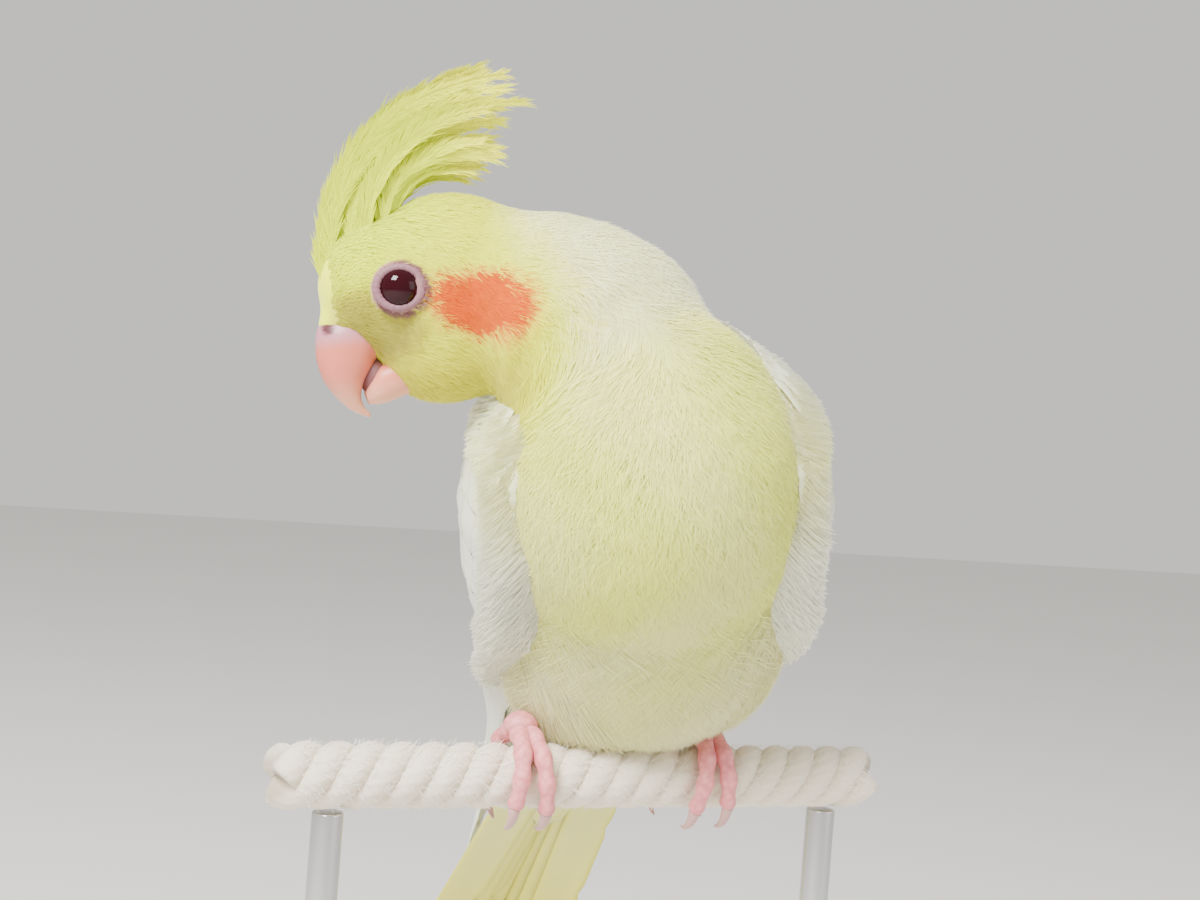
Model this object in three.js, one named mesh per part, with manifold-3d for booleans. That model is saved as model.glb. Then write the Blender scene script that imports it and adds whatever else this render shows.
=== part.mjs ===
// A cockatiel on a short length of rope, as a still life-size model on a plain stand.
// Millimetres, +Z up, the origin under the middle of the base.
import * as THREE from "three";
import { mergeVertices } from "three/addons/utils/BufferGeometryUtils.js";
import Module from "manifold-3d";

const wasm = await Module();
wasm.setup();

const V = (x, y, z) => new THREE.Vector3(x, y, z);
const RAD = Math.PI / 180;
const GAP = 0.3;
const FAR = 400;

// Stand
const BASE_LENGTH = 150;
const BASE_WIDTH = 130;
const BASE_THICK = 12;
const BASE_CORNER = 14;
const BASE_ROUND = 1.6;
const ROD_RADIUS = 2.6;
const ROD_X = { left: 44, right: -48 };

// Rope perch, with its axis along X
const PERCH_HEIGHT = 128;
const PERCH_Y = -20;
const PERCH_RADIUS = 5.7;
const PERCH_ENDS = [-57, 52];
const STRANDS = 3;
const STRAND_LEAD = 16.2;
const STRAND_DEPTH = 0.55;

// Torso in its own frame: x to the bird's left, y to its back, z up the spine
const TORSO_AT = V(2, -6, 44);
const TORSO_TILT = 40;
const TORSO_LEAN = -7;
const TORSO_YAW = -18;
const TAIL_SWAY = 0.36;
const SWAY_FROM = -22;
const BLEND = { torso: 8, neck: 8, head: 3.5 };
const TORSO = [
  [V(0, 0, 0), V(25.5, 26, 43)],
  [V(0, -5, 14), V(24.5, 24, 27)],
  [V(0, -3, -17), V(24, 23, 25)],
  [V(-13, -9, -26), V(11, 12, 12)],
  [V(13, -6, -24), V(9, 10, 11)],
  [V(-4, -1, -41), V(11, 8, 18)],
];

// Neck in the bird's frame, with its origin on the rope's axis between the feet
const NECK = [
  [V(-18, -13, 76.5), V(18, 17, 16.5)],
  [V(-9, -10, 79.5), V(14, 13, 12)],
];

// Head in its own frame: x to the back, y to the bird's right, z up
const HEAD_AT = V(-36, -6, 80.6);
const HEAD_YAW = -10;
const HEAD_PITCH = -12;
const HEAD = [
  [V(0, 0, -0.4), V(17.5, 13.5, 16.8)],
  [V(-12, 0, 1.8), V(10.5, 10, 10.6)],
  [V(-2, 0, -10), V(10.5, 9.5, 8.5)],
  [V(-19.5, 0, -3.6), V(3.4, 4.4, 2.8)],
];

// The planes that part the body
const NECK_FOOT = { at: V(-12, -15, 66), normal: V(-0.3, -0.1, 0.95).normalize() };
const NECK_HEAD = { at: V(-27.5, -9, 80), normal: V(-0.87, 0.16, 0.46).normalize() };
const TAIL_ROOT = -47;
const CREST_PLANE = { at: V(-12, 0, 8.6), normal: V(-0.55, 0, 0.83).normalize() };

// Face
const EYE_AT = { x: -9.4, z: 0.6 };
const EYE_RADIUS = 3;
const EYE_FLAT = 2.2;
const EYE_DEPTH = 1;
const LID_RADIUS = 3.5;
const LID_THICK = 0.9;
const NOSTRIL_AT = { x: -20.6, z: -4.1 };
const NOSTRIL_RADIUS = 0.85;

// Bill: at each station its top, its underside and its half width
const BILL_UPPER = [
  { top: [-17, -1.5], under: [-11, -7], half: 5 },
  { top: [-22.3, -4.2], under: [-13.4, -9.8], half: 5 },
  { top: [-22.9, -8.2], under: [-14.2, -11.2], half: 4.7 },
  { top: [-22.2, -12.2], under: [-15.8, -13.2], half: 3.9 },
  { top: [-20.4, -15.3], under: [-16.6, -15.2], half: 2.7 },
  { top: [-18.2, -17.6], under: [-16.4, -16.9], half: 1.5 },
  { top: [-15.8, -18.9], under: [-15.4, -18.4], half: 0.4 },
];
const BILL_LOWER = [
  { top: [-8.5, -10.4], under: [-6, -15], half: 4.2 },
  { top: [-12.6, -11.2], under: [-10.6, -16.4], half: 4.1 },
  { top: [-14.2, -13.2], under: [-13.4, -16.9], half: 3.2 },
  { top: [-15.4, -14.9], under: [-15.1, -16.4], half: 1.6 },
];

// Wing: the tube that its feathers lie on, as its half sizes along the spine
const WING_TUBE = [
  { z: 34, across: 17, deep: 17 },
  { z: 22, across: 25, deep: 22 },
  { z: 8, across: 28.5, deep: 25.5 },
  { z: -12, across: 29, deep: 24 },
  { z: -32, across: 25, deep: 17.5 },
  { z: -50, across: 17, deep: 11 },
  { z: -75, across: 11.5, deep: 8.5 },
  { z: -104, across: 7, deep: 6 },
];

// Its fleshy front part: the turns round the tube that it spans, and how far it stands out
const WING_CORE = [
  { z: 33, from: 8, to: 30, out: 2 },
  { z: 26, from: -34, to: 58, out: 3.6 },
  { z: 12, from: -47, to: 74, out: 4 },
  { z: -6, from: -46, to: 80, out: 3 },
  { z: -22, from: -38, to: 80, out: 2 },
  { z: -36, from: -20, to: 76, out: 1.2 },
];

// Wing feathers in rows, each row from the lower edge to the back: where the roots and tips
// lie along the spine and round it, and the half width of a vane
const SHAFT = 0.35;
const WING_ROWS = {
  primaries: { count: 5, root: [2, -4], tip: [-100, -66], from: [-44, -18], to: [36, 62], half: 4.6, out: 0.5 },
  secondaries: { count: 6, root: [6, 12], tip: [-27, -50], from: [-42, 56], to: [-35, 66], half: 6.6, out: 1.2 },
  greater: { count: 6, root: [18, 16], tip: [-6, -16], from: [-46, 58], to: [-46, 64], half: 6.4, out: 2 },
  median: { count: 5, root: [27, 24], tip: [9, 1], from: [-34, 56], to: [-44, 60], half: 6.6, out: 2.8 },
  lesser: { count: 4, root: [31, 30], tip: [19, 14], from: [-16, 50], to: [-34, 52], half: 6.4, out: 3.4 },
  scapulars: { count: 2, root: [28, 22], tip: [-2, -22], from: [62, 68], to: [64, 76], half: 4.6, out: 3 },
};
const VANE_THICK = 0.6;
const VANE_ROLL = 9;
const OUTLINES = {
  long: [[0, 0.5], [0.4, 1], [0.8, 0.85], [1, 0.12]],
  broad: [[0, 0.5], [0.5, 1], [1, 0.3]],
};

// Tail
const TAIL_LEVEL = -3;
const TAIL_PAIRS = 6;
const TAIL_TIPS = [-188, -182, -168, -152, -136, -120];
const TAIL_SPREAD = 2.1;
const TAIL_STEP = 0.9;
const TAIL_HALF = 5.2;

// Crest: from the forehead to the crown, the roots, the lengths and the ways of its feathers
const CREST_FEATHERS = 16;
const CREST_ROOT = { x: [-22, -8], z: [1.5, 13.4] };
const CREST_LENGTH = [46, 15];
const CREST_START = [100, 84];
const CREST_END = [52, 26];
const CREST_HALF = 1.9;
const CREST_ROLL = 50;

// Feet
const FOOT_X = { left: 18.8, right: -15.5 };
const TOE_RADIUS = 1.65;
const CLAW_LENGTH = 6;
const PALM = V(2.7, 3, 1.6);
const FOOT_ROOM = 9;

const COLOURS = {
  flesh: ["#e8e6c4", 0.9, 0],
  crest: ["#eef07a", 0.9, 0],
  wing: ["#e9ead8", 0.85, 0],
  tail: ["#e6e08a", 0.85, 0],
  bill: ["#d9a493", 0.45, 0],
  eye: ["#3a0f12", 0.1, 0],
  foot: ["#e8a6a8", 0.7, 0],
  claw: ["#8d8078", 0.5, 0],
  rope: ["#e2ddcd", 0.95, 0],
  stand: ["#d8d6d0", 0.6, 0],
  rod: ["#b8b8b8", 0.35, 0.9],
};

// Solids and geometries

function solidOf(geometry) {
  const plain = geometry.clone();
  plain.deleteAttribute("normal");
  plain.deleteAttribute("uv");
  const merged = mergeVertices(plain, 1e-4);
  const mesh = new wasm.Mesh({
    numProp: 3,
    vertProperties: merged.attributes.position.array,
    triVerts: new Uint32Array(merged.index.array),
  });
  return new wasm.Manifold(mesh);
}

function geometryOf(solid) {
  const mesh = solid.getMesh();
  const geometry = new THREE.BufferGeometry();
  const position = new Float32Array(mesh.numVert * 3);
  for (let i = 0; i < mesh.numVert; i++) {
    const from = i * mesh.numProp;
    position.set(mesh.vertProperties.subarray(from, from + 3), i * 3);
  }
  geometry.setAttribute("position", new THREE.BufferAttribute(position, 3));
  geometry.setIndex(new THREE.BufferAttribute(mesh.triVerts, 1));
  return geometry;
}

const largest = (solid) =>
  solid.decompose().reduce((a, b) => (a.volume() > b.volume() ? a : b));

const joined = (solids) => solids.reduce((a, b) => a.add(b));

function volumeOf(points, index) {
  let sum = 0;
  for (let i = 0; i < index.length; i += 3) {
    const [a, b, c] = [points[index[i]], points[index[i + 1]], points[index[i + 2]]];
    sum += a.dot(b.clone().cross(c));
  }
  return sum;
}

function facesOut(points, index) {
  if (volumeOf(points, index) < 0) index.reverse();
  const geometry = new THREE.BufferGeometry().setFromPoints(points);
  geometry.setIndex(index);
  return geometry;
}

// A closed skin over rings of like count. From ring point `turned` on, the quads are split
// the other way, so that both faces of a thin vane have the same triangles.
function loft(rings, turned = Infinity) {
  const count = rings[0].length;
  const points = rings.flat();
  const index = [];
  for (let i = 0; i + 1 < rings.length; i++) {
    for (let j = 0; j < count; j++) {
      const [a, b] = [i * count + j, i * count + ((j + 1) % count)];
      const [c, d] = [a + count, b + count];
      if (j >= turned) index.push(a, b, c, b, d, c);
      else index.push(a, b, d, a, d, c);
    }
  }
  const ends = [0, rings.length - 1];
  for (const end of ends) {
    const middle = points.length;
    const centre = V(0, 0, 0);
    for (const p of rings[end]) centre.addScaledVector(p, 1 / count);
    points.push(centre);
    for (let j = 0; j < count; j++) {
      const [a, b] = [end * count + j, end * count + ((j + 1) % count)];
      index.push(...(end ? [a, b, middle] : [b, a, middle]));
    }
  }
  return solidOf(facesOut(points, index));
}

// The half of space on the side that a normal points to
function halfSpace({ at, normal }, shift = 0) {
  const box = new THREE.BoxGeometry(FAR, FAR, FAR).translate(0, 0, FAR / 2 + shift);
  const turn = new THREE.Quaternion().setFromUnitVectors(V(0, 0, 1), normal);
  return solidOf(box.applyQuaternion(turn).translate(at.x, at.y, at.z));
}

const above = (solid, plane) => solid.intersect(halfSpace(plane, GAP / 2));
const below = (solid, plane) => solid.subtract(halfSpace(plane, -GAP / 2));

// Frames

const turnOf = (x, y, z) =>
  new THREE.Matrix4().makeRotationFromEuler(new THREE.Euler(x * RAD, y * RAD, z * RAD, "ZYX"));
const torsoFrame = turnOf(TORSO_TILT, TORSO_LEAN, TORSO_YAW).setPosition(TORSO_AT);
const headFrame = turnOf(0, HEAD_PITCH, HEAD_YAW).setPosition(HEAD_AT);
const birdFrame = new THREE.Matrix4();

const sway = (z) => Math.min(0, z - SWAY_FROM) * TAIL_SWAY;
const torsoPoint = (x, y, z) => V(x + sway(z), y, z).applyMatrix4(torsoFrame);
const headPoint = (x, y, z) => V(x, y, z).applyMatrix4(headFrame);
const headPlane = {
  at: CREST_PLANE.at.clone().applyMatrix4(headFrame),
  normal: CREST_PLANE.normal.clone().transformDirection(headFrame),
};

// The body as one field of blended ellipsoids

function blobs(list, frame, blend) {
  return list.map(([at, half]) => ({
    half,
    blend,
    inverse: frame.clone().multiply(new THREE.Matrix4().makeTranslation(at)).invert(),
  }));
}

const BODY = [
  ...blobs(TORSO, torsoFrame, BLEND.torso),
  ...blobs(NECK, birdFrame, BLEND.neck),
  ...blobs(HEAD, headFrame, BLEND.head),
];

function ellipsoidField({ half, inverse }, p) {
  const q = p.clone().applyMatrix4(inverse).divide(half);
  const k = q.length();
  return k < 1e-6 ? -Math.min(half.x, half.y, half.z) : (k * (k - 1)) / q.divide(half).length();
}

function bodyField(p) {
  let field = Infinity;
  for (const blob of BODY) {
    const next = ellipsoidField(blob, p);
    const near = Math.max(blob.blend - Math.abs(field - next), 0) / blob.blend;
    field = Math.min(field, next) - (near * near * blob.blend) / 4;
  }
  return field;
}

// How far it is from a point inside the body to its surface
function reachOf(from, way, most, grow) {
  let far = 0;
  for (let i = 0; i < 60 && far < most; i++) {
    const left = grow - bodyField(from.clone().addScaledVector(way, far));
    if (left < 0.005) break;
    far += left * 0.9;
  }
  return Math.min(far, most);
}

// The body's surface as seen from one point inside, no farther than `most`
function bodyPart(from, pole, rings, segments, most, grow = 0) {
  const sphere = new THREE.SphereGeometry(1, segments, rings);
  const turn = new THREE.Quaternion().setFromUnitVectors(V(0, 1, 0), pole.clone().normalize());
  sphere.applyQuaternion(turn);
  sphere.deleteAttribute("normal");
  sphere.deleteAttribute("uv");
  const merged = mergeVertices(sphere, 1e-4);
  const place = merged.attributes.position;
  for (let i = 0; i < place.count; i++) {
    const way = new THREE.Vector3().fromBufferAttribute(place, i).normalize();
    const point = from.clone().addScaledVector(way, reachOf(from, way, most, grow));
    place.setXYZ(i, point.x, point.y, point.z);
  }
  return solidOf(merged);
}

// Feathers

// One vane along a path, with its blade across `side` and its face along `up` at each step.
// A vane with a shaft has a low ridge along its middle.
function vane(steps, shaft = 0) {
  const rings = steps.map(({ at, side, up, half, thick }) => {
    const edge = (across, rise) =>
      at.clone().addScaledVector(side, across).addScaledVector(up, rise);
    const t = thick / 2;
    const [left, right] = [[edge(-half, t), edge(-half, -t)], [edge(half, t), edge(half, -t)]];
    if (!shaft) return [left[0], right[0], right[1], left[1]];
    return [left[0], edge(0, t + shaft), right[0], right[1], edge(0, shaft - t), left[1]];
  });
  return loft(rings, rings[0].length / 2);
}

// The steps of a vane whose places come from a function of the way along it
function featherSteps(place, outline, thick, roll = 0) {
  return outline.map(([share, half], i) => {
    const at = place(share);
    const ahead = place(share + 0.01).sub(place(share - 0.01)).normalize();
    const up = place(share, 1).sub(at).normalize();
    const side = ahead.clone().cross(up).normalize();
    const face = side.clone().cross(ahead).normalize();
    side.applyAxisAngle(ahead, roll);
    face.applyAxisAngle(ahead, roll);
    const thin = i === outline.length - 1 ? 0.75 : 1;
    return { at, side, up: face, half, thick: thick * thin };
  });
}

// Wings

function tubeAt(z) {
  const tube = WING_TUBE;
  let i = 0;
  while (i < tube.length - 2 && z < tube[i + 1].z) i++;
  const share = (tube[i].z - z) / (tube[i].z - tube[i + 1].z);
  return {
    across: tube[i].across + (tube[i + 1].across - tube[i].across) * share,
    deep: tube[i].deep + (tube[i + 1].deep - tube[i].deep) * share,
  };
}

// A point over the wing's tube: along the spine, round it from the side to the back, and out
function wingPoint(side, z, angle, lift) {
  const { across, deep } = tubeAt(z);
  const x = side * (across + lift) * Math.cos(angle * RAD);
  return torsoPoint(x, 1 + (deep + lift) * Math.sin(angle * RAD), z);
}

const mix = (pair, share) => pair[0] + (pair[1] - pair[0]) * share;
const eased = (way, power) => Math.max(way, 0) ** power;
const at = (list, z, key) => {
  let i = 0;
  while (i < list.length - 2 && z < list[i + 1].z) i++;
  const share = Math.min(Math.max((list[i].z - z) / (list[i].z - list[i + 1].z), 0), 1);
  return mix([list[i][key], list[i + 1][key]], share);
};

// How far the wing's fleshy part stands out of the tube
function coreLift(z, angle) {
  const [from, to] = [at(WING_CORE, z, "from"), at(WING_CORE, z, "to")];
  const share = Math.min(Math.max((angle - from) / (to - from), 0), 1);
  const out = at(WING_CORE, z, "out");
  return 0.4 + out * Math.sin(Math.PI * (0.15 + 0.7 * share));
}

function wingCore(side) {
  const across = 6;
  const rings = WING_CORE.map(({ z, from, to }) => {
    const outer = [];
    const inner = [];
    for (let i = 0; i <= across; i++) {
      const share = i / across;
      const angle = mix([from, to], share);
      outer.push(wingPoint(side, z, angle, coreLift(z, angle)));
      inner.push(wingPoint(side, z, mix([to, from], share), 0.2));
    }
    return [...outer, ...inner];
  });
  return loft(rings, across + 1);
}

function wingRow(side, row, outline, draw) {
  const vanes = [];
  for (let i = 0; i < row.count; i++) {
    const share = i / (row.count - 1);
    const z = [mix(row.root, share), mix(row.tip, share) * (1 + 0.05 * (draw() - 0.5))];
    const turn = [mix(row.from, share), mix(row.to, share) + 3 * (draw() - 0.5)];
    const place = (way, up = 0) => {
      const [level, angle] = [mix(z, way), mix(turn, eased(way, 1.3))];
      const stand = mix([-0.6, row.out], Math.min(way * 3, 1));
      return wingPoint(side, level, angle, coreLift(level, angle) + stand + up);
    };
    const steps = outline.map(([way, half]) => [way, half * row.half]);
    vanes.push(vane(featherSteps(place, steps, VANE_THICK, side * VANE_ROLL * RAD)));
  }
  return vanes;
}

// A seeded draw between 0 and 1
function drawFrom(seed) {
  let state = seed;
  return () => {
    state = (state * 1664525 + 1013904223) % 4294967296;
    return state / 4294967296;
  };
}

// The block on the far side of the middle of the back
function beyondMiddle(side) {
  const levels = [60, SWAY_FROM, TAIL_TIPS[0]];
  const rings = levels.map((z) => [
    torsoPoint(side * GAP, -FAR / 4, z),
    torsoPoint(side * GAP, FAR / 4, z),
    torsoPoint(-side * FAR / 4, FAR / 4, z),
    torsoPoint(-side * FAR / 4, -FAR / 4, z),
  ]);
  return loft(rings);
}

function wing(side) {
  const draw = drawFrom(11);
  const vanes = Object.entries(WING_ROWS).flatMap(([name, row]) =>
    wingRow(side, row, name === "primaries" ? OUTLINES.long : OUTLINES.broad, draw),
  );
  const whole = joined([wingCore(side), ...vanes]);
  const clear = whole.subtract(torsoGrown).subtract(neckGrown).subtract(beyondMiddle(side));
  return largest(clear);
}

// Tail

function tailFeather(side, pair) {
  const root = [side * (0.6 + 1.1 * pair), TAIL_LEVEL - 0.2 * pair, TAIL_ROOT + 1];
  const tip = [side * (2 + TAIL_SPREAD * pair), TAIL_LEVEL - TAIL_STEP * pair, TAIL_TIPS[pair]];
  const place = (way, up = 0) =>
    torsoPoint(
      mix([root[0], tip[0]], way),
      mix([root[1], tip[1]], eased(way, 0.5)) + up,
      mix([root[2], tip[2]], way),
    );
  const steps = OUTLINES.long.map(([way, half]) => [way, half * TAIL_HALF]);
  return vane(featherSteps(place, steps, VANE_THICK + 0.1, side * 4 * RAD), SHAFT);
}

// The short feathers over and under the roots of the tail
function tailCovert(index, over) {
  const across = (index - 1.5) * 5;
  const place = (way, up = 0) => {
    const z = mix([-44, -78 + Math.abs(index - 1.5) * 7], way);
    const rise = over ? mix([4, 0.6], way) : mix([-7, -8.4], way);
    return torsoPoint(across * (1 - 0.2 * way), TAIL_LEVEL + rise + up - Math.abs(across) * 0.2, z);
  };
  const steps = OUTLINES.broad.map(([way, half]) => [way, half * 4.2]);
  return vane(featherSteps(place, steps, VANE_THICK + 0.1));
}

function tail() {
  const root = { at: torsoPoint(0, 0, TAIL_ROOT), normal: torsoUp };
  const feathers = [];
  for (let pair = TAIL_PAIRS - 1; pair >= 0; pair--) {
    for (const side of Object.values(SIDES)) feathers.push(tailFeather(side, pair));
  }
  for (let i = 0; i < 4; i++) feathers.push(tailCovert(i, true), tailCovert(i, false));
  const stub = bodyPart(torsoPoint(0, -1, -44), root.normal, 12, 18, 20);
  return largest(below(joined([stub, ...feathers]), root));
}

// Crest

// Each feather leaves the head steeply and bends to the back
function crestFeather(index, draw) {
  const share = index / (CREST_FEATHERS - 1);
  const length = mix(CREST_LENGTH, eased(share, 1.6)) * (0.85 + 0.2 * draw());
  const across = (index % 3) - 1;
  const spread = across * (3 - share) + draw() - 0.5;
  const turns = [mix(CREST_START, share), mix(CREST_END, share) + 8 * (draw() - 0.5)];
  const place = (way, up = 0) => {
    const turn = mix(turns, way) * RAD;
    const go = way * length;
    const x = mix(CREST_ROOT.x, share) + go * Math.cos(turn) - up * Math.sin(turn);
    const z = mix(CREST_ROOT.z, eased(share, 0.6)) + go * Math.sin(turn) + up * Math.cos(turn);
    return headPoint(x, spread * (1 + way * 0.4), z - Math.abs(spread) * 0.6);
  };
  const steps = OUTLINES.long.map(([way, half]) => [way, half * CREST_HALF]);
  return vane(featherSteps(place, steps, VANE_THICK, (across || 1) * CREST_ROLL * RAD));
}

function crestFeathers() {
  const draw = drawFrom(5);
  return Array.from({ length: CREST_FEATHERS }, (_, i) => crestFeather(i, draw));
}

// Head

function onHead(x, z, side) {
  const from = headPoint(x, 0, z);
  const way = V(0, side, 0).transformDirection(headFrame);
  return from.addScaledVector(way, reachOf(from, way, 30, 0));
}

function eyeSolid(side, grow) {
  const centre = onHead(EYE_AT.x, EYE_AT.z, side);
  const way = V(-0.12, side, 0.03).normalize().transformDirection(headFrame);
  const ball = new THREE.SphereGeometry(EYE_RADIUS + grow, 14, 8);
  ball.scale(1, 1, (EYE_FLAT + grow) / (EYE_RADIUS + grow));
  ball.applyQuaternion(new THREE.Quaternion().setFromUnitVectors(V(0, 0, 1), way));
  centre.addScaledVector(way, -EYE_DEPTH);
  return solidOf(ball.translate(centre.x, centre.y, centre.z));
}

function lid(side) {
  const centre = onHead(EYE_AT.x, EYE_AT.z, side);
  const way = V(-0.12, side, 0.03).normalize().transformDirection(headFrame);
  const ring = new THREE.TorusGeometry(LID_RADIUS, LID_THICK, 6, 16);
  ring.applyQuaternion(new THREE.Quaternion().setFromUnitVectors(V(0, 0, 1), way));
  centre.addScaledVector(way, -0.35);
  return solidOf(ring.translate(centre.x, centre.y, centre.z));
}

function nostril(side) {
  const centre = onHead(NOSTRIL_AT.x, NOSTRIL_AT.z, side);
  return solidOf(new THREE.SphereGeometry(NOSTRIL_RADIUS, 8, 6).translate(...centre));
}

function billSolid(stations, grow = 0) {
  const rings = stations.map(({ top, under, half }) => {
    const high = V(top[0], 0, top[1]);
    const low = V(under[0], 0, under[1]);
    const middle = high.clone().add(low).multiplyScalar(0.5);
    const arm = high.clone().sub(middle);
    arm.setLength(arm.length() + grow);
    return Array.from({ length: 14 }, (_, i) => {
      const a = (i / 14) * 2 * Math.PI;
      const p = middle.clone().addScaledVector(arm, Math.cos(a));
      p.y = (half + grow) * Math.sin(a);
      return p.applyMatrix4(headFrame);
    });
  });
  return loft(rings);
}

const SIDES = { left: 1, right: -1 };

// The head's own frame has y to the bird's right
function makeHead() {
  let head = wholeHead(0);
  for (const side of Object.values(SIDES)) {
    head = head.add(lid(side)).subtract(eyeSolid(side, GAP)).subtract(nostril(side));
  }
  return head;
}

// Feet

// A round bar along a path of points, with a radius at each
function bar(path, radii, sides) {
  const rings = path.map((at, i) => {
    const ahead = (path[i + 1] ?? at).clone().sub(path[i - 1] ?? at).normalize();
    const first = V(1, 0, 0).cross(ahead).lengthSq() > 0.05 ? V(1, 0, 0) : V(0, 1, 0);
    const u = first.clone().cross(ahead).normalize();
    const v = ahead.clone().cross(u).normalize();
    return Array.from({ length: sides }, (_, j) => {
      const a = (j / sides) * 2 * Math.PI;
      return at
        .clone()
        .addScaledVector(u, radii[i] * Math.cos(a))
        .addScaledVector(v, radii[i] * Math.sin(a));
    });
  });
  return loft(rings);
}

// Each toe goes round the rope: its own place along X, its turn round the rope and its end
const TOES = [
  { name: "inner_front", x: [-1, -3.4], turn: [104, 222] },
  { name: "outer_front", x: [1, 2.6], turn: [100, 214] },
  { name: "inner_back", x: [-1.2, -6.4], turn: [84, -22] },
  { name: "outer_back", x: [1.2, 2.6], turn: [82, -26] },
];

const grip = PERCH_RADIUS + GAP + TOE_RADIUS;
const aroundRope = (x, turn, radius) =>
  V(x, radius * Math.cos(turn * RAD), radius * Math.sin(turn * RAD));

function toe(foot, side, { x, turn }) {
  const steps = 9;
  const path = [];
  const radii = [];
  for (let i = 0; i < steps; i++) {
    const share = i / (steps - 1);
    const pad = 0.16 * Math.cos(share * 3 * 2 * Math.PI);
    path.push(aroundRope(foot + side * mix(x, share ** 0.8), mix(turn, share), grip));
    radii.push((TOE_RADIUS - 0.35 * share) * (1 + pad * 0.6));
  }
  return bar(path, radii, 7);
}

function claw(foot, side, { x, turn }) {
  const way = Math.sign(turn[1] - turn[0]);
  const start = turn[1] + way * (GAP / grip / RAD);
  const steps = 5;
  const path = [];
  const radii = [];
  for (let i = 0; i < steps; i++) {
    const share = i / (steps - 1);
    const angle = start + way * share * (CLAW_LENGTH / grip / RAD);
    const out = grip + 1.1 * Math.sin(share * Math.PI) - 0.4 * share;
    path.push(aroundRope(foot + side * x[1], angle, out));
    radii.push(mix([1.05, 0.3], share));
  }
  return bar(path, radii, 6);
}

function footSolid(foot, side) {
  const shank = bar(
    [V(foot, -0.5, 8.3), V(foot - side * 2, -1, 11), V(foot - side * 5, -2, 18)],
    [2.4, 2.3, 2.4],
    12,
  );
  const palm = new THREE.SphereGeometry(1, 12, 8).scale(PALM.x, PALM.y, PALM.z);
  palm.translate(foot, 0, grip);
  const toes = TOES.map((one) => toe(foot, side, one));
  const flesh = torsoGrown.subtract(feetRoom(grip + TOE_RADIUS));
  return largest(joined([shank, solidOf(palm), ...toes]).subtract(flesh));
}

// Rope

function rope() {
  const step = 30;
  const sides = STRANDS * 3;
  const length = PERCH_ENDS[1] - PERCH_ENDS[0];
  const count = Math.round((length / STRAND_LEAD) * (360 / step));
  const rings = [];
  for (let i = 0; i <= count; i++) {
    const x = PERCH_ENDS[0] + (length * i) / count;
    const twist = (x / STRAND_LEAD) * 360;
    rings.push(
      Array.from({ length: sides }, (_, j) => {
        const lobe = Math.cos(((j % 3) / 3) * 2 * Math.PI);
        const radius = PERCH_RADIUS - STRAND_DEPTH * (1 - lobe) * 0.5;
        return aroundRope(x, (j / sides) * 360 + twist, radius);
      }),
    );
  }
  return loft(rings);
}

// A round bar along X, for the room that the rope and feet take out of the belly
function barAlongX(radius, length, x = 0) {
  const round = new THREE.CylinderGeometry(radius, radius, length, 24);
  return solidOf(round.rotateZ(Math.PI / 2).translate(x, 0, 0));
}

const feetRoom = (radius) =>
  joined(Object.values(FOOT_X).map((x) => barAlongX(radius, FOOT_ROOM, x)));
const ropeRoom = () =>
  barAlongX(PERCH_RADIUS + GAP, FAR / 2).add(feetRoom(grip + TOE_RADIUS + GAP));

// Stand

function roundedBase() {
  const [w, d] = [BASE_LENGTH / 2 - BASE_ROUND, BASE_WIDTH / 2 - BASE_ROUND];
  const r = BASE_CORNER;
  const shape = new THREE.Shape();
  shape.moveTo(-w + r, -d);
  shape.lineTo(w - r, -d);
  shape.absarc(w - r, -d + r, r, -Math.PI / 2, 0);
  shape.lineTo(w, d - r);
  shape.absarc(w - r, d - r, r, 0, Math.PI / 2);
  shape.lineTo(-w + r, d);
  shape.absarc(-w + r, d - r, r, Math.PI / 2, Math.PI);
  shape.lineTo(-w, -d + r);
  shape.absarc(-w + r, -d + r, r, Math.PI, Math.PI * 1.5);
  const depth = BASE_THICK - 2 * BASE_ROUND;
  return new THREE.ExtrudeGeometry(shape, {
    depth,
    curveSegments: 5,
    bevelThickness: BASE_ROUND,
    bevelSize: BASE_ROUND,
    bevelSegments: 2,
  }).translate(0, 0, BASE_ROUND);
}

function rod() {
  const top = PERCH_HEIGHT - PERCH_RADIUS - GAP;
  const bottom = BASE_THICK + GAP;
  const height = top - bottom;
  return new THREE.CylinderGeometry(ROD_RADIUS, ROD_RADIUS, height, 20)
    .rotateX(Math.PI / 2)
    .translate(0, 0, bottom + height / 2);
}

// The whole

const torsoUp = V(0, 0, 1).transformDirection(torsoFrame);
const wholeTorso = (grow) => bodyPart(torsoPoint(0, -2, 0), torsoUp, 20, 28, 62, grow);
const wholeNeck = (grow) => bodyPart(V(-18, -13, 76), NECK_FOOT.normal, 18, 26, 34, grow);
const torsoGrown = wholeTorso(GAP + 0.1);
const neckGrown = wholeNeck(GAP + 0.1);
const wholeHead = (grow) => bodyPart(headPoint(-3, 0, -1), V(-1, 0.17, -0.2), 24, 30, 24, grow);
const head = makeHead();
const headGrown = wholeHead(GAP);

const model = new THREE.Group();
model.name = "cockatiel";
const bird = new THREE.Group();
bird.position.set(0, PERCH_Y, PERCH_HEIGHT);
model.add(bird);

function put(parent, name, geometry, finish) {
  const [color, roughness, metalness] = COLOURS[finish];
  const material = new THREE.MeshStandardMaterial({ color, roughness, metalness });
  material.name = finish;
  const mesh = new THREE.Mesh(geometry, material);
  mesh.name = name;
  parent.add(mesh);
  return mesh;
}

const putSolid = (name, solid, finish) => put(bird, name, geometryOf(largest(solid)), finish);

const tailPlane = { at: torsoPoint(0, 0, TAIL_ROOT), normal: torsoUp };
const body = below(above(wholeTorso(0), tailPlane), NECK_FOOT).subtract(ropeRoom());
putSolid("torso", body, "flesh");

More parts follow.
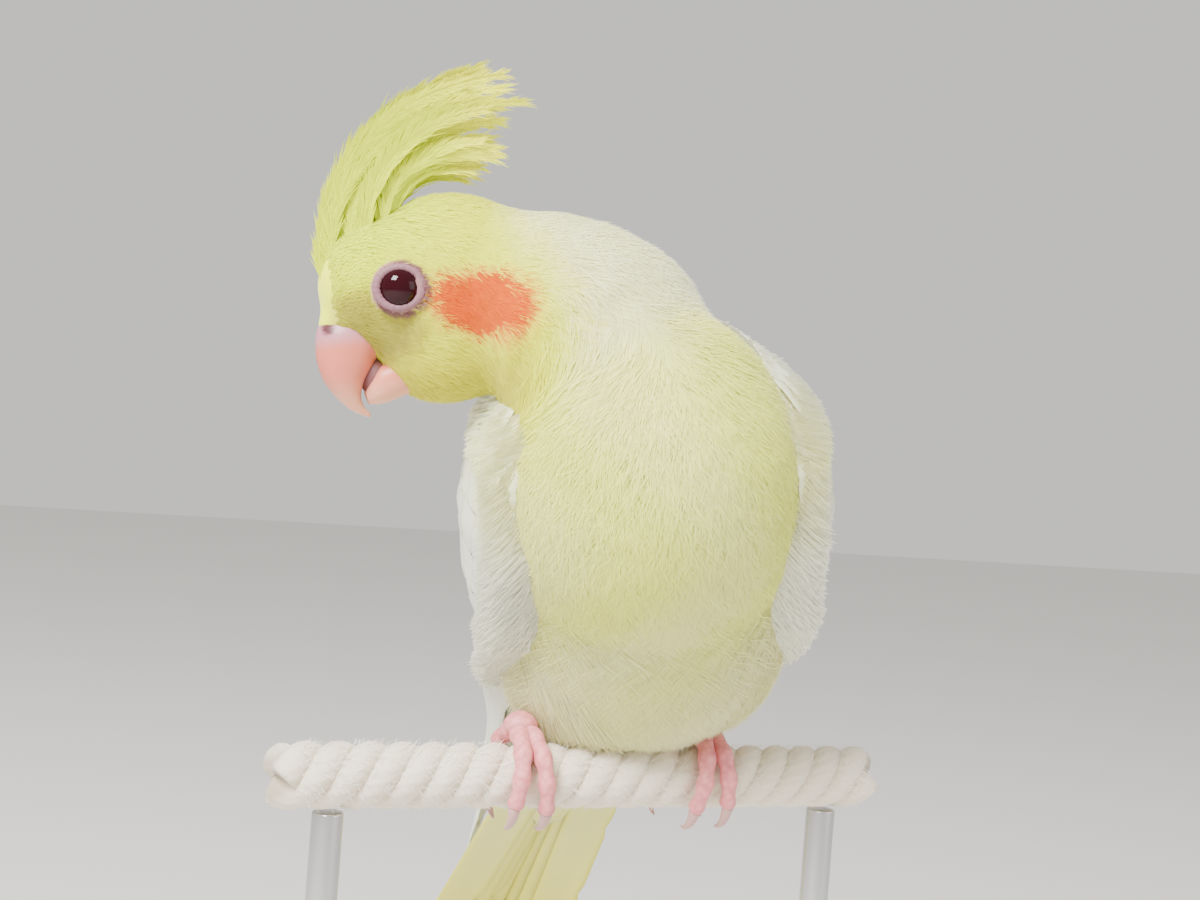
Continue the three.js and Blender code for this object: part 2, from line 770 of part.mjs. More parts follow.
putSolid("neck", below(above(wholeNeck(0), NECK_FOOT), NECK_HEAD), "flesh");

const front = above(head, NECK_HEAD);
putSolid("head", below(front, headPlane), "flesh");
putSolid("crest", above(joined([front, ...crestFeathers()]), headPlane), "crest");

const billUpper = billSolid(BILL_UPPER).subtract(headGrown);
putSolid("bill_upper", billUpper, "bill");
const billLower = billSolid(BILL_LOWER).subtract(headGrown).subtract(billSolid(BILL_UPPER, GAP));
putSolid("bill_lower", billLower, "bill");
putSolid("tail", tail(), "tail");

for (const [name, side] of Object.entries(SIDES)) {
  putSolid("eye_" + name, eyeSolid(-side, 0), "eye");
  putSolid("wing_" + name, wing(side), "wing");
  putSolid("foot_" + name, footSolid(FOOT_X[name], side), "foot");
  for (const one of TOES) {
    putSolid(`claw_${name}_${one.name}`, claw(FOOT_X[name], side, one), "claw");
  }
  put(model, "stand_rod_" + name, rod(), "rod").position.set(ROD_X[name], PERCH_Y, 0);
}
putSolid("perch_rope", rope(), "rope");
put(model, "stand_base", roundedBase(), "stand");

export default model;
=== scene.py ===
# %% [markdown]
# # A cockatiel on a rope perch
# This lesson dresses the solid model of a pale yellow cockatiel for a studio picture.
# The frame brings the solid parts. Each step replaces a part with a finer one of the same
# size: a skin, then about three hundred thousand blades of plumage, long wing and tail
# feathers, a crest, a bill, eyes, feet and the rope. Lengths are millimetres in the bird's own
# frame, whose origin is on the rope's axis, and they become metres only when a mesh is made.

# %% The frame and the size of the bird
import math

import bpy
import numpy as np
from mathutils import Matrix, Vector


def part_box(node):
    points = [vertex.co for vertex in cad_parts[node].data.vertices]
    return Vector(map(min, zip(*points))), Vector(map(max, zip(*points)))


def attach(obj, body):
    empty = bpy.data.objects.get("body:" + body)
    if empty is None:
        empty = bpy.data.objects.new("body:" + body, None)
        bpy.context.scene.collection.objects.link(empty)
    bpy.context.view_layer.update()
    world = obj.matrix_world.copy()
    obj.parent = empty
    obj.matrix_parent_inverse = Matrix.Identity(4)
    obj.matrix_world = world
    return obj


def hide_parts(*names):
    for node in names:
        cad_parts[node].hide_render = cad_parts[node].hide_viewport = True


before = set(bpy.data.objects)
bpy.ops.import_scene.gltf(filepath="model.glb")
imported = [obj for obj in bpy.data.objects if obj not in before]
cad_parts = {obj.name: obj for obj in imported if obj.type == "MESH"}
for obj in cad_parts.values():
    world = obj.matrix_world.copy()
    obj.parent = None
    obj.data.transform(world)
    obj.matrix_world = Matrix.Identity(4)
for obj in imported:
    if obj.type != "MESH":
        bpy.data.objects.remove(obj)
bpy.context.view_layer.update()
rng = np.random.default_rng(7)
MM = 0.001
PERCH = np.array([0.0, -20.0, 128.0])
print("solid parts:", len(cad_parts))

# %% [markdown]
# ## The camera
# The photo was taken from in front of the bird, at the height of its breast and about 30 cm
# away, and the camera leaned a few degrees. A camera object takes those facts as a place,
# a heading and a roll. The lens follows from how large the bird is in the picture.

# %% The camera
CAMERA_AT = np.array([-116.8, -276.4, 56.5])
CAMERA_YAW = math.radians(22)
CAMERA_ROLL = math.radians(4.5)
LENS_MM = 51.7


def add_camera():
    forward = Vector((math.sin(CAMERA_YAW), math.cos(CAMERA_YAW), 0))
    right = Vector((math.cos(CAMERA_YAW), -math.sin(CAMERA_YAW), 0))
    up = Vector((0, 0, 1))
    x = right * math.cos(CAMERA_ROLL) + up * math.sin(CAMERA_ROLL)
    y = up * math.cos(CAMERA_ROLL) - right * math.sin(CAMERA_ROLL)
    turn = Matrix((x, y, -forward)).transposed().to_4x4()
    bpy.ops.object.camera_add()
    camera = bpy.context.object
    camera.matrix_world = Matrix.Translation((CAMERA_AT + PERCH) * MM) @ turn
    camera.data.lens = LENS_MM
    camera.data.clip_start = 0.01
    bpy.context.scene.camera = camera


add_camera()
print("lens:", LENS_MM, "mm")

# %% [markdown]
# ## Frames of the torso and the head
# The bird leans and looks down to its right, so the torso and the head each get a frame
# of their own. In the torso's frame x points to the bird's left, y to its back and z up the
# spine. In the head's frame x points to the back of the head, y to the bird's right.


# %% Frames
def turn_of(x, y, z):
    turns = [Matrix.Rotation(math.radians(a), 3, k) for a, k in ((z, "Z"), (y, "Y"), (x, "X"))]
    return np.array(turns[0] @ turns[1] @ turns[2])


TORSO_AT = np.array([2.0, -6.0, 44.0])
TORSO_TURN = turn_of(40, -7, -18)
HEAD_AT = np.array([-36.0, -6.0, 80.6])
HEAD_TURN = turn_of(0, -12, -10)
SWAY, SWAY_FROM = 0.36, -22.0


def torso_point(x, y, z):
    x, y, z = np.broadcast_arrays(x, y, z)
    x = x + np.minimum(0, z - SWAY_FROM) * SWAY
    return np.stack([x, y, z], -1) @ TORSO_TURN.T + TORSO_AT


def head_point(x, y, z):
    return np.stack(np.broadcast_arrays(x, y, z), -1) @ HEAD_TURN.T + HEAD_AT


def in_torso(p):
    q = (p - TORSO_AT) @ TORSO_TURN
    q[..., 0] -= np.minimum(0, q[..., 2] - SWAY_FROM) * SWAY
    return q


def in_head(p):
    return (p - HEAD_AT) @ HEAD_TURN


def unit(v):
    return v / np.maximum(np.linalg.norm(v, axis=-1, keepdims=True), 1e-9)


def smooth(x):
    x = np.clip(x, 0, 1)
    return x * x * (3 - 2 * x)


# %% [markdown]
# ## The body as one soft field
# A bird's body under its feathers is a few rounded masses that run into one another.
# Here each mass is an ellipsoid, and a smooth union blends them, as wet clay would. The same
# field later tells which way is out of the body at any feather's root.

# %% Body field
BLOBS = [
    ((0, 0, 0), (25.5, 26, 43), "torso", 8),
    ((0, -5, 14), (24.5, 24, 27), "torso", 8),
    ((0, -3, -17), (24, 23, 25), "torso", 8),
    ((-13, -9, -26), (11, 12, 12), "torso", 8),
    ((13, -6, -24), (9, 10, 11), "torso", 8),
    ((-4, -1, -41), (11, 8, 18), "torso", 8),
    ((-18, -13, 76.5), (18, 17, 16.5), "bird", 8),
    ((-9, -10, 79.5), (14, 13, 12), "bird", 8),
    ((-24.5, -8, 85), (14, 12, 9.8), "bird", 8),
    ((0, 0, -0.4), (17.5, 13.5, 16.8), "head", 3.5),
    ((-12, 0, 1.8), (10.5, 10, 10.6), "head", 3.5),
    ((-2, 0, -10), (10.5, 9.5, 8.5), "head", 3.5),
    ((-19.5, 0, -3.6), (3.4, 4.4, 2.8), "head", 3.5),
]


def local(p, where):
    if where == "torso":
        return (p - TORSO_AT) @ TORSO_TURN
    return in_head(p) if where == "head" else p


def body_field(p):
    field = np.full(p.shape[:-1], 1e6)
    for at, half, where, blend in BLOBS:
        q = (local(p, where) - at) / half
        k = np.maximum(np.linalg.norm(q, axis=-1), 1e-6)
        new = k * (k - 1) / np.linalg.norm(q / half, axis=-1)
        near = np.maximum(blend - np.abs(field - new), 0) / blend
        field = np.minimum(field, new) - near * near * blend / 4
    return field


def outward(p):
    step = 0.05 * np.eye(3)
    return unit(np.stack([body_field(p + s) - body_field(p - s) for s in step], -1))


def reach(start, way, most, grow=0.0):
    far = np.zeros(way.shape[:-1])
    for _ in range(60):
        left = grow - body_field(start + way * far[..., None])
        far = np.minimum(far + np.maximum(left, 0) * 0.9, most)
    return far


# %% [markdown]
# ## Meshes from arrays
# Feathers come in thousands, so they are worked out as arrays of points and written into one
# mesh at once.


# %% Mesh helpers
def new_mesh(name, points, faces):
    mesh = bpy.data.meshes.new(name)
    faces = np.asarray(faces, np.int32)
    size = faces.shape[1]
    mesh.vertices.add(len(points))
    mesh.vertices.foreach_set("co", ((points + PERCH) * MM).astype(np.float32).ravel())
    mesh.loops.add(faces.size)
    mesh.loops.foreach_set("vertex_index", faces.ravel())
    mesh.polygons.add(len(faces))
    mesh.polygons.foreach_set("loop_start", np.arange(0, faces.size, size, dtype=np.int32))
    mesh.polygons.foreach_set("use_smooth", np.ones(len(faces), bool))
    mesh.update(calc_edges=True)
    mesh.validate()
    piece = bpy.data.objects.new(name, mesh)
    bpy.context.scene.collection.objects.link(piece)
    return piece


def paint(piece, colours):
    layer = piece.data.color_attributes.new("plumage", "FLOAT_COLOR", "POINT")
    rgba = np.ones((len(colours), 4), np.float32)
    rgba[:, :3] = colours
    layer.data.foreach_set("color", rgba.ravel())


def lay_map(piece, name, uv):
    layer = piece.data.uv_layers.new(name=name)
    corners = np.empty(len(piece.data.loops), np.int32)
    piece.data.loops.foreach_get("vertex_index", corners)
    layer.data.foreach_set("uv", uv[corners].astype(np.float32).ravel())


def settle(piece, finish, material, *nodes):
    piece.data.materials.append(material)
    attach(piece, "root")
    if nodes:
        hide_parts(*nodes)
    return piece


def tube_faces(rows, columns):
    i, j = np.meshgrid(np.arange(rows - 1), np.arange(columns), indexing="ij")
    a = i * columns + j
    b = i * columns + (j + 1) % columns
    return np.stack([a, b, b + columns, a + columns], -1).reshape(-1, 4)


def joined_grids(grids):
    """The points and faces of several tubes, each a grid of rings, as one mesh."""
    points, faces, start = [], [], 0
    for grid in grids:
        rows, columns = grid.shape[:2]
        faces.append(tube_faces(rows, columns) + start)
        points.append(grid.reshape(-1, 3))
        start += rows * columns
    return np.concatenate(points), np.concatenate(faces)


def halved(faces):
    return np.concatenate([faces[:, [0, 1, 2]], faces[:, [0, 2, 3]]])


def end_fans(count, grids):
    start, middles, fans = 0, [], []
    for grid in grids:
        rows, columns = grid.shape[:2]
        for row in (0, rows - 1):
            ring = start + row * columns + np.arange(columns)
            following = np.roll(ring, -1)
            pair = (following, ring) if row == 0 else (ring, following)
            fans.append(np.stack([*pair, np.full(columns, count + len(middles))], -1))
            middles.append(grid[row].mean(0))
        start += rows * columns
    return np.array(middles), np.concatenate(fans)


def closed_tubes(grids):
    """Tubes with a fan of triangles over either end, and every face turned outward."""
    points, faces = joined_grids(grids)
    middles, fans = end_fans(len(points), grids)
    points, triangles = np.concatenate([points, middles]), np.concatenate([halved(faces), fans])
    a, b, c = (points[triangles[:, k]] - points.mean(0) for k in range(3))
    inside_out = np.sum(a * np.cross(b, c)) < 0
    return points, triangles[:, ::-1] if inside_out else triangles


def circle(count):
    return np.linspace(0, 2 * math.pi, count, endpoint=False)


# %% [markdown]
# ## Colours of the plumage
# A lutino bird has no dark pigment: it is lemon yellow on the crest and face, cream on the
# breast, and near white on nape, back and wings, with an orange patch on each cheek. The
# colour is a function of place, so the skin and every feather that grows from it agree.


# %% Plumage colours
def srgb(*values):
    c = np.array(values, float) / 255
    return np.where(c <= 0.04045, c / 12.92, ((c + 0.055) / 1.055) ** 2.4)


LEMON, LEMON_TIP = srgb(240, 248, 0), srgb(250, 250, 70)
FACE = srgb(242, 245, 44)
CHEEK_UNDER = srgb(234, 230, 62)
NAPE = srgb(252, 252, 206)
BREAST = srgb(244, 246, 158)
BELLY = srgb(238, 234, 194)
BACK = srgb(248, 247, 214)
ORANGE = srgb(236, 104, 0)
ORANGE_EDGE = srgb(248, 206, 66)
BARE = srgb(150, 106, 108)
WING_WHITE = srgb(248, 248, 232)
WING_TINT = srgb(244, 246, 130)
TAIL_YELLOW, TAIL_PALE = srgb(242, 236, 96), srgb(242, 240, 160)
TAIL_EDGE, SHAFT_CREAM = srgb(244, 238, 60), srgb(250, 246, 222)
CHEEK_AT, CHEEK_HALF = (1.6, -2.4), (6.9, 5.0)
EYE_XZ, LID_REACH = (-9.4, 0.6), 3.8


def blend(a, b, share):
    return a + (b - a) * np.asarray(share)[..., None]


def eye_distance(h):
    return np.hypot(h[..., 0] - EYE_XZ[0], h[..., 2] - EYE_XZ[1])


def cheek_share(h, ragged):
    x, z = h[..., 0] - CHEEK_AT[0], h[..., 2] - CHEEK_AT[1]
    x, z = x * 0.97 - z * 0.22, z * 0.97 + x * 0.22
    return np.sqrt((x / CHEEK_HALF[0]) ** 2 + (z / CHEEK_HALF[1]) ** 2) + ragged


def plumage(p, ragged=0.0):
    h, t = in_head(p), in_torso(p)
    patch = smooth(0.5 + 0.5 * np.sin(p[..., 0] * 0.23 + 2 * np.sin(p[..., 2] * 0.11)))
    body = blend(BREAST, BELLY, smooth((34 - t[..., 2]) / 70))
    body = blend(body, srgb(240, 244, 104), 0.55 * patch * smooth((t[..., 2] + 42) / 60))
    body = blend(body, BACK, smooth((t[..., 1] + 2) / 14))
    head = blend(FACE, LEMON, smooth((-h[..., 0] + h[..., 2] * 0.5 - 6) / 10))
    head = blend(head, NAPE, smooth((h[..., 0] + 0.35 * h[..., 2] - 6) / 13))
    head = blend(head, CHEEK_UNDER, smooth((-h[..., 2] - 6) / 8) * smooth((14 - h[..., 0]) / 10))
    far = np.linalg.norm(h * np.array([0.9, 1, 1]), axis=-1)
    colour = blend(head, body, smooth((far - 22) / 14))
    cheek = cheek_share(h, ragged)
    side = smooth((np.abs(h[..., 1]) - 5) / 4)
    colour = blend(colour, ORANGE_EDGE, side * smooth((1.32 - cheek) / 0.35) * 0.85)
    colour = blend(colour, ORANGE, side * smooth((1.08 - cheek) / 0.22))
    lore = smooth((6.4 - np.hypot((h[..., 0] + 14) * 0.7, (h[..., 2] + 4) * 0.9)) / 3)
    bare = np.maximum(smooth((4.8 - eye_distance(h)) / 0.8), 0.45 * lore)
    return blend(colour, BARE, bare * smooth((np.abs(h[..., 1]) - 2) / 2))


# %% [markdown]
# ## Materials
# Barbs are dull, slightly see-through and a little fuzzy at the edge, so their shader has high
# roughness, some light passing under the surface and a soft sheen. Vanes add the fine
# slanting lines of the barbs as bump, drawn along each feather's own map.


# %% Materials
def fresh_material(name):
    material = bpy.data.materials.new(name)
    material.use_nodes = True
    tree = material.node_tree
    return material, tree, tree.nodes["Principled BSDF"]


def put(shader, **values):
    for name, value in values.items():
        shader.inputs[name.replace("_", " ")].default_value = value


def plain_material(name, colour, roughness, **values):
    material, _, shader = fresh_material(name)
    put(shader, Base_Color=(*colour, 1), Roughness=roughness, **values)
    return material


def noise_node(tree, scale):
    where = tree.nodes.new("ShaderNodeTexCoord")
    noise = tree.nodes.new("ShaderNodeTexNoise")
    noise.inputs["Scale"].default_value = scale
    noise.inputs["Detail"].default_value = 4.0
    tree.links.new(where.outputs["Object"], noise.inputs["Vector"])
    return noise


def bump_from(tree, shader, height, strength, distance):
    bump = tree.nodes.new("ShaderNodeBump")
    bump.inputs["Strength"].default_value = strength
    bump.inputs["Distance"].default_value = distance
    tree.links.new(height, bump.inputs["Height"])
    tree.links.new(bump.outputs["Normal"], shader.inputs["Normal"])


def painted(tree, *sockets):
    colour = tree.nodes.new("ShaderNodeAttribute")
    colour.attribute_name = "plumage"
    for socket in sockets:
        tree.links.new(colour.outputs["Color"], socket)


def plumage_material(name, through):
    material, tree, shader = fresh_material(name)
    put(shader, Roughness=0.75, Sheen_Weight=0.2, Sheen_Roughness=0.5, Specular_IOR_Level=0.15)
    glow = tree.nodes.new("ShaderNodeBsdfTranslucent")
    painted(tree, shader.inputs["Base Color"], glow.inputs["Color"])
    mix = tree.nodes.new("ShaderNodeMixShader")
    mix.inputs["Fac"].default_value = through
    tree.links.new(shader.outputs["BSDF"], mix.inputs[1])
    tree.links.new(glow.outputs["BSDF"], mix.inputs[2])
    tree.links.new(mix.outputs[0], tree.nodes["Material Output"].inputs["Surface"])
    return material, tree, shader


def math_node(tree, operation, a, b=None):
    node = tree.nodes.new("ShaderNodeMath")
    node.operation = operation
    for socket, value in zip(node.inputs, (a, b)):
        if isinstance(value, (int, float)):
            socket.default_value = value
        elif value is not None:
            tree.links.new(value, socket)
    return node.outputs[0]


BARB_LINES = 15.0


def vane_material(name):
    material, tree, shader = plumage_material(name, 0.25)
    place = tree.nodes.new("ShaderNodeUVMap")
    place.uv_map = "barbs"
    parts = tree.nodes.new("ShaderNodeSeparateXYZ")
    tree.links.new(place.outputs["UV"], parts.inputs[0])
    slant = math_node(tree, "ABSOLUTE", parts.outputs[0])
    along = math_node(tree, "SUBTRACT", parts.outputs[1], math_node(tree, "MULTIPLY", slant, 1.1))
    wander = noise_node(tree, 300).outputs["Fac"]
    lines = math_node(tree, "ADD", math_node(tree, "MULTIPLY", along, BARB_LINES), wander)
    bump_from(tree, shader, math_node(tree, "SINE", lines), 0.25, 0.0001)
    return material


barb_finish = plumage_material("barbs", 0.4)[0]
plume_finish = plumage_material("plume", 0.4)[0]
skin_finish = plumage_material("skin", 0.0)[0]
vane_finish = vane_material("vanes")

# %% [markdown]
# ## The skin
# Three spheres are pushed out to the surface of the field from inside the torso, the neck and
# the head, then a voxel remesh fuses them. The skin lies a feather's depth inside the solid
# body. Round each eye it dips into a socket. A flattening of this very surface is the map from
# which every tuft takes its own small patch.

# %% Skin
COAT_DEPTH, SKIN_GRAIN, SOCKET_DEPTH = 1.3, 0.8, 3.0


def sphere_ways(rings, segments):
    v = np.linspace(0.02, math.pi - 0.02, rings)[:, None]
    u = circle(segments)[None]
    return np.stack([np.sin(v) * np.cos(u), np.sin(v) * np.sin(u), np.cos(v) + 0 * u], -1)


def body_shell(start, most):
    ways = sphere_ways(72, 96)
    return start + ways * reach(start, ways, most, -COAT_DEPTH)[..., None]


def select_only(piece):
    bpy.ops.object.select_all(action="DESELECT")
    piece.select_set(True)
    bpy.context.view_layer.objects.active = piece


def in_edit_mode(piece, *steps):
    select_only(piece)
    bpy.ops.object.mode_set(mode="EDIT")
    bpy.ops.mesh.select_all(action="SELECT")
    for step in steps:
        step()
    bpy.ops.object.mode_set(mode="OBJECT")


def make_skin():
    shells = [
        body_shell(torso_point(0, -2, 0), 54),
        body_shell(np.array([-18.0, -13.0, 76.0]), 24),
        body_shell(head_point(-3, 0, -1), 22),
    ]
    skin = new_mesh("skin", *closed_tubes(shells))
    in_edit_mode(skin, lambda: bpy.ops.mesh.remove_doubles(threshold=1e-7),
                 lambda: bpy.ops.mesh.normals_make_consistent(inside=False))
    remesh = skin.modifiers.new("fuse", "REMESH")
    remesh.mode = "VOXEL"
    remesh.voxel_size = SKIN_GRAIN * MM
    bpy.ops.object.modifier_apply(modifier=remesh.name)
    return skin


def points_of(piece):
    flat = np.empty(len(piece.data.vertices) * 3, np.float32)
    piece.data.vertices.foreach_get("co", flat)
    return flat.reshape(-1, 3).astype(float) / MM - PERCH


def move_points(piece, points):
    piece.data.vertices.foreach_set("co", ((points + PERCH) * MM).astype(np.float32).ravel())
    piece.data.update()


skin = make_skin()
p = points_of(skin)
out = outward(p)
p -= out * (body_field(p) + COAT_DEPTH)[:, None].clip(-1.5, 1.5)
h = in_head(p)
near_eye = eye_distance(h)
on_side = smooth((np.abs(h[:, 1]) - 4) / 2)
p += out * (COAT_DEPTH * 0.8 * smooth((4.6 - near_eye) / 1.2) * on_side)[:, None]
p -= out * (SOCKET_DEPTH * smooth((3.0 - near_eye) / 0.8) * on_side)[:, None]
move_points(skin, p)
skin.data.shade_smooth()
paint(skin, plumage(p))
in_edit_mode(skin, lambda: bpy.ops.uv.smart_project(angle_limit=1.1, island_margin=0.002))
skin.data.uv_layers[0].name = "OFBake"
settle(skin, "body_feather", skin_finish, "torso", "neck", "head")
print("skin faces:", len(skin.data.polygons))

# %% [markdown]
# ## Plumage in the making
# A contour feather leaves the skin, bends back at once and lies flat over the next one. Here
# every tuft is a fan of narrow blades with pointed tips: the blades of one tuft share a root
# and spread a little, as barbs do. The roots are strewn by area over the skin's faces, and
# the direction of lie runs from the bill over the head and down the spine to the tail.


# %% Lie of the feathers
def lie_of(p, out):
    """The way a feather lies: off the bill, back over the head, then down the spine."""
    back = HEAD_TURN @ np.array([0.86, 0, -0.5])
    down = -TORSO_TURN[:, 2]
    h = in_head(p)
    share = smooth((np.linalg.norm(h, axis=-1) - 14) / 22)
    way = back * (1 - share)[:, None] + down * share[:, None]
    from_bill = p - head_point(-20.0, 0, -3.0)
    near_face = smooth((16 - np.linalg.norm(from_bill, axis=-1)) / 14)[:, None]
    way = way * (1 - near_face) + unit(from_bill) * near_face
    way = way - out * np.sum(way * out, -1, keepdims=True)
    return unit(way)


def strewn(count, keep):
    """Roots spread by area over the skin, and their places on the skin's map."""
    mesh = skin.data
    mesh.calc_loop_triangles()
    tri = np.empty(len(mesh.loop_triangles) * 3, np.int32)
    loops = np.empty(len(mesh.loop_triangles) * 3, np.int32)
    mesh.loop_triangles.foreach_get("vertices", tri)
    mesh.loop_triangles.foreach_get("loops", loops)
    uv = np.empty(len(mesh.loops) * 2, np.float32)
    mesh.uv_layers["OFBake"].data.foreach_get("uv", uv)
    corners = points_of(skin)[tri.reshape(-1, 3)]
    maps = uv.reshape(-1, 2)[loops.reshape(-1, 3)]
    side = np.cross(corners[:, 1] - corners[:, 0], corners[:, 2] - corners[:, 0])
    area = np.linalg.norm(side, axis=1) * keep(corners.mean(1))
    pick = rng.choice(len(area), count, p=area / area.sum())
    a, b = rng.random((2, count))
    flip = a + b > 1
    a[flip], b[flip] = 1 - a[flip], 1 - b[flip]
    weights = np.stack([1 - a - b, a, b], -1)[..., None]
    return (corners[pick] * weights).sum(1), (maps[pick] * weights).sum(1)


# %% Tufts
BLADE_POINTS, PATCH = 7, 0.003


def tuft_points(root, out, lie, length, width, spread, lift, curl):
    """Fans of pointed blades: seven points and five triangles each."""
    count, blades, rows = len(root), spread.shape[1], 4
    side = np.cross(out, lie)
    way = lie[:, None] * np.cos(spread)[..., None] + side[:, None] * np.sin(spread)[..., None]
    across = side[:, None] * np.cos(spread)[..., None] - lie[:, None] * np.sin(spread)[..., None]
    t = np.linspace(0, 1, rows)
    rise = lift[:, None, None] * (t * (1.9 - 0.9 * t)) - curl[:, None, None] * t ** 3
    line = root[:, None, None] + way[:, :, None] * (t * length[..., None])[..., None]
    line = line + out[:, None, None] * rise[..., None]
    half = width[..., None] * np.array([0.62, 1.0, 0.72, 0.0])
    left = line - across[:, :, None] * half[..., None]
    right = line + across[:, :, None] * half[..., None]
    ring = np.concatenate([left[:, :, :3], line[:, :, 3:], right[:, :, :3]], 2)
    faces = np.array([[5, 4, 0], [1, 5, 0], [6, 5, 1], [2, 6, 1], [3, 6, 2]])
    starts = np.arange(count * blades)[:, None, None] * BLADE_POINTS
    return ring.reshape(-1, 3), (faces[None] + starts).reshape(-1, 3)


def add_tufts(name, count, keep, length, width, fan, lift, blades=3, tint=0.05):
    root, uv = strewn(count, keep)
    out = outward(root)
    lie = lie_of(root, out)
    turn = rng.normal(0, 0.1, count)[:, None] + np.linspace(-fan, fan, blades)[None]
    turn += rng.normal(0, fan * 0.3, (count, blades))
    size = length(root)[:, None] * rng.uniform(0.72, 1.15, (count, blades))
    wide = width(root)[:, None] * rng.uniform(0.7, 1.2, (count, blades))
    up = lift(root) * rng.uniform(0.6, 1.3, count)
    points, faces = tuft_points(root, out, lie, size, wide, turn, up, up * 0.35)
    tone = rng.normal(0, 1, count)
    colours = plumage(root, 0.1 * tone) * (1 + tint * tone)[:, None]
    # Each blade is painted darker at its root and a little lighter toward its tip: painted shade
    # where it lies under the feathers above it, and painted light on its free end.
    steps = np.array([0.86, 0.95, 1.02, 1.06, 0.86, 0.95, 1.02])
    colours = np.repeat(colours, blades * BLADE_POINTS, axis=0)
    colours = colours * np.tile(steps, count * blades)[:, None]
    piece = new_mesh(name, points, faces)
    paint(piece, colours.clip(0, 1))
    patch = np.array([[0, 0], [0, .4], [0, .8], [.5, 1], [1, 0], [1, .4], [1, .8]]) * PATCH
    patches = np.repeat(uv, blades * BLADE_POINTS, axis=0) + np.tile(patch, (count * blades, 1))
    lay_map(piece, "OFBake", patches.clip(0, 1))
    return settle(piece, "body_feather", barb_finish)


def on_head(p):
    return smooth((25 - np.linalg.norm(in_head(p) * [0.9, 1, 1], axis=-1)) / 5)


def off_bare(p):
    h = in_head(p)
    return ((eye_distance(h) > LID_REACH) | (np.abs(h[..., 1]) < 4)) & (h[..., 0] > -19.5)


def head_keep(p):
    return on_head(p) * off_bare(p)


def body_keep(p):
    return (1 - on_head(p)) * (in_torso(p)[..., 2] > -56)


def head_length(p):
    h = in_head(p)
    from_bill = np.linalg.norm(h - [-19, 0, -3], axis=-1).clip(0, 20)
    from_lid = (eye_distance(h) - 3.5).clip(0, 6)
    return np.minimum(1.5 + 0.17 * from_bill, 0.8 + 0.55 * from_lid)


def body_length(p):
    return 6.5 + 3.5 * smooth((60 - p[..., 2]) / 50)


for part in range(3):
    add_tufts(f"head_plumage_{part}", 8500, head_keep, head_length,
              lambda p: 0.05 + 0.013 * head_length(p), 0.24, lambda p: 0.2 * head_length(p) ** 0.5)
for part in range(6):
    add_tufts(f"body_plumage_{part}", 3600, body_keep, body_length,
              lambda p: 0.1 + 0 * p[..., 0], 0.5, lambda p: 0.5 + 0 * p[..., 0], blades=8)
print("tufts on head and body done")

# %% [markdown]
# ## One vane, many feathers
# A flight feather is a shaft with a vane of barbs on either side. The vane arches across,
# its edge rounds to the tip, and here and there the barbs part and leave a slit. A feather
# is given by its line of shaft points, and the normals of the surface it lies on.

# %% Vanes
SHAFT_HALF, VANE_COLUMNS = 0.28, 9


def vane_shape(t, root_share, tip_share):
    rise = root_share + (1 - root_share) * smooth(t / 0.3)
    fall = np.clip((t - (1 - tip_share)) / tip_share, 0, 1)
    return rise * np.sqrt(np.clip(1 - fall ** 2.4, 0, 1))


def vane_grids(line, normal, half, thick=0.3, camber=0.12, tip=0.4, root=0.45, slits=2):
    rows = len(line)
    t = np.linspace(0, 1, rows)
    along = unit(np.gradient(line, axis=0))
    side = unit(np.cross(normal, along))
    up = np.cross(along, side)
    width = half * vane_shape(t, root, tip)
    u = np.linspace(-1, 1, VANE_COLUMNS)
    edge = 1 + 0.004 * rng.normal(0, 1, (rows, 2))
    wide = u[None] * width[:, None] * np.where(u < 0, edge[:, :1], edge[:, 1:])
    drop = -camber * half * u[None] ** 2 * (width / half)[:, None] ** 2
    shift = 0.9 * np.abs(u)[None] * width[:, None] * smooth((t - 0.1) / 0.3)[:, None]
    for _ in range(slits):
        where, way = rng.uniform(0.35, 0.85), rng.choice([-1, 1])
        gap = np.exp(-((t - where) / 0.018) ** 2)[:, None] * (u * way > 0.3)[None]
        wide = wide * (1 - gap * rng.uniform(0.12, 0.4))
        drop = drop - gap * 0.12
    base = line[:, None] + side[:, None] * wide[..., None] + up[:, None] * drop[..., None]
    lean = np.minimum(shift, 0.5 * width[:, None])
    base = base + along[:, None] * lean[..., None] * 0.5
    body = thick * (1 - 0.7 * np.abs(u)[None] ** 2) * (0.35 + 0.65 * (width / half)[:, None])
    top = base + up[:, None] * (body / 2)[..., None]
    low = base - up[:, None] * (body / 2)[..., None]
    loop = np.concatenate([top, low[:, ::-1]], 1)
    uv = np.stack(np.broadcast_arrays(u[None], t[:, None]), -1)
    length = np.linalg.norm(np.diff(line, axis=0), axis=1).sum()
    uv = uv * [half, length]
    return loop, np.concatenate([uv, uv[:, ::-1]], 1), shaft_grid(line, up, half, thick)


def rings_round(line, side, up, radius, count):
    a = circle(count)[None, :, None]
    ring = side[:, None] * np.cos(a) + up[:, None] * np.sin(a)
    return line[:, None] + ring * radius[:, None, None]


def shaft_grid(line, up, half, thick):
    t = np.linspace(0, 1, len(line))
    radius = SHAFT_HALF * (1 - 0.85 * t) * min(1.0, half / 5)
    along = unit(np.gradient(line, axis=0))
    side = np.cross(up, along)
    return rings_round(line + up * (thick * 0.4), side, up, radius, 6)


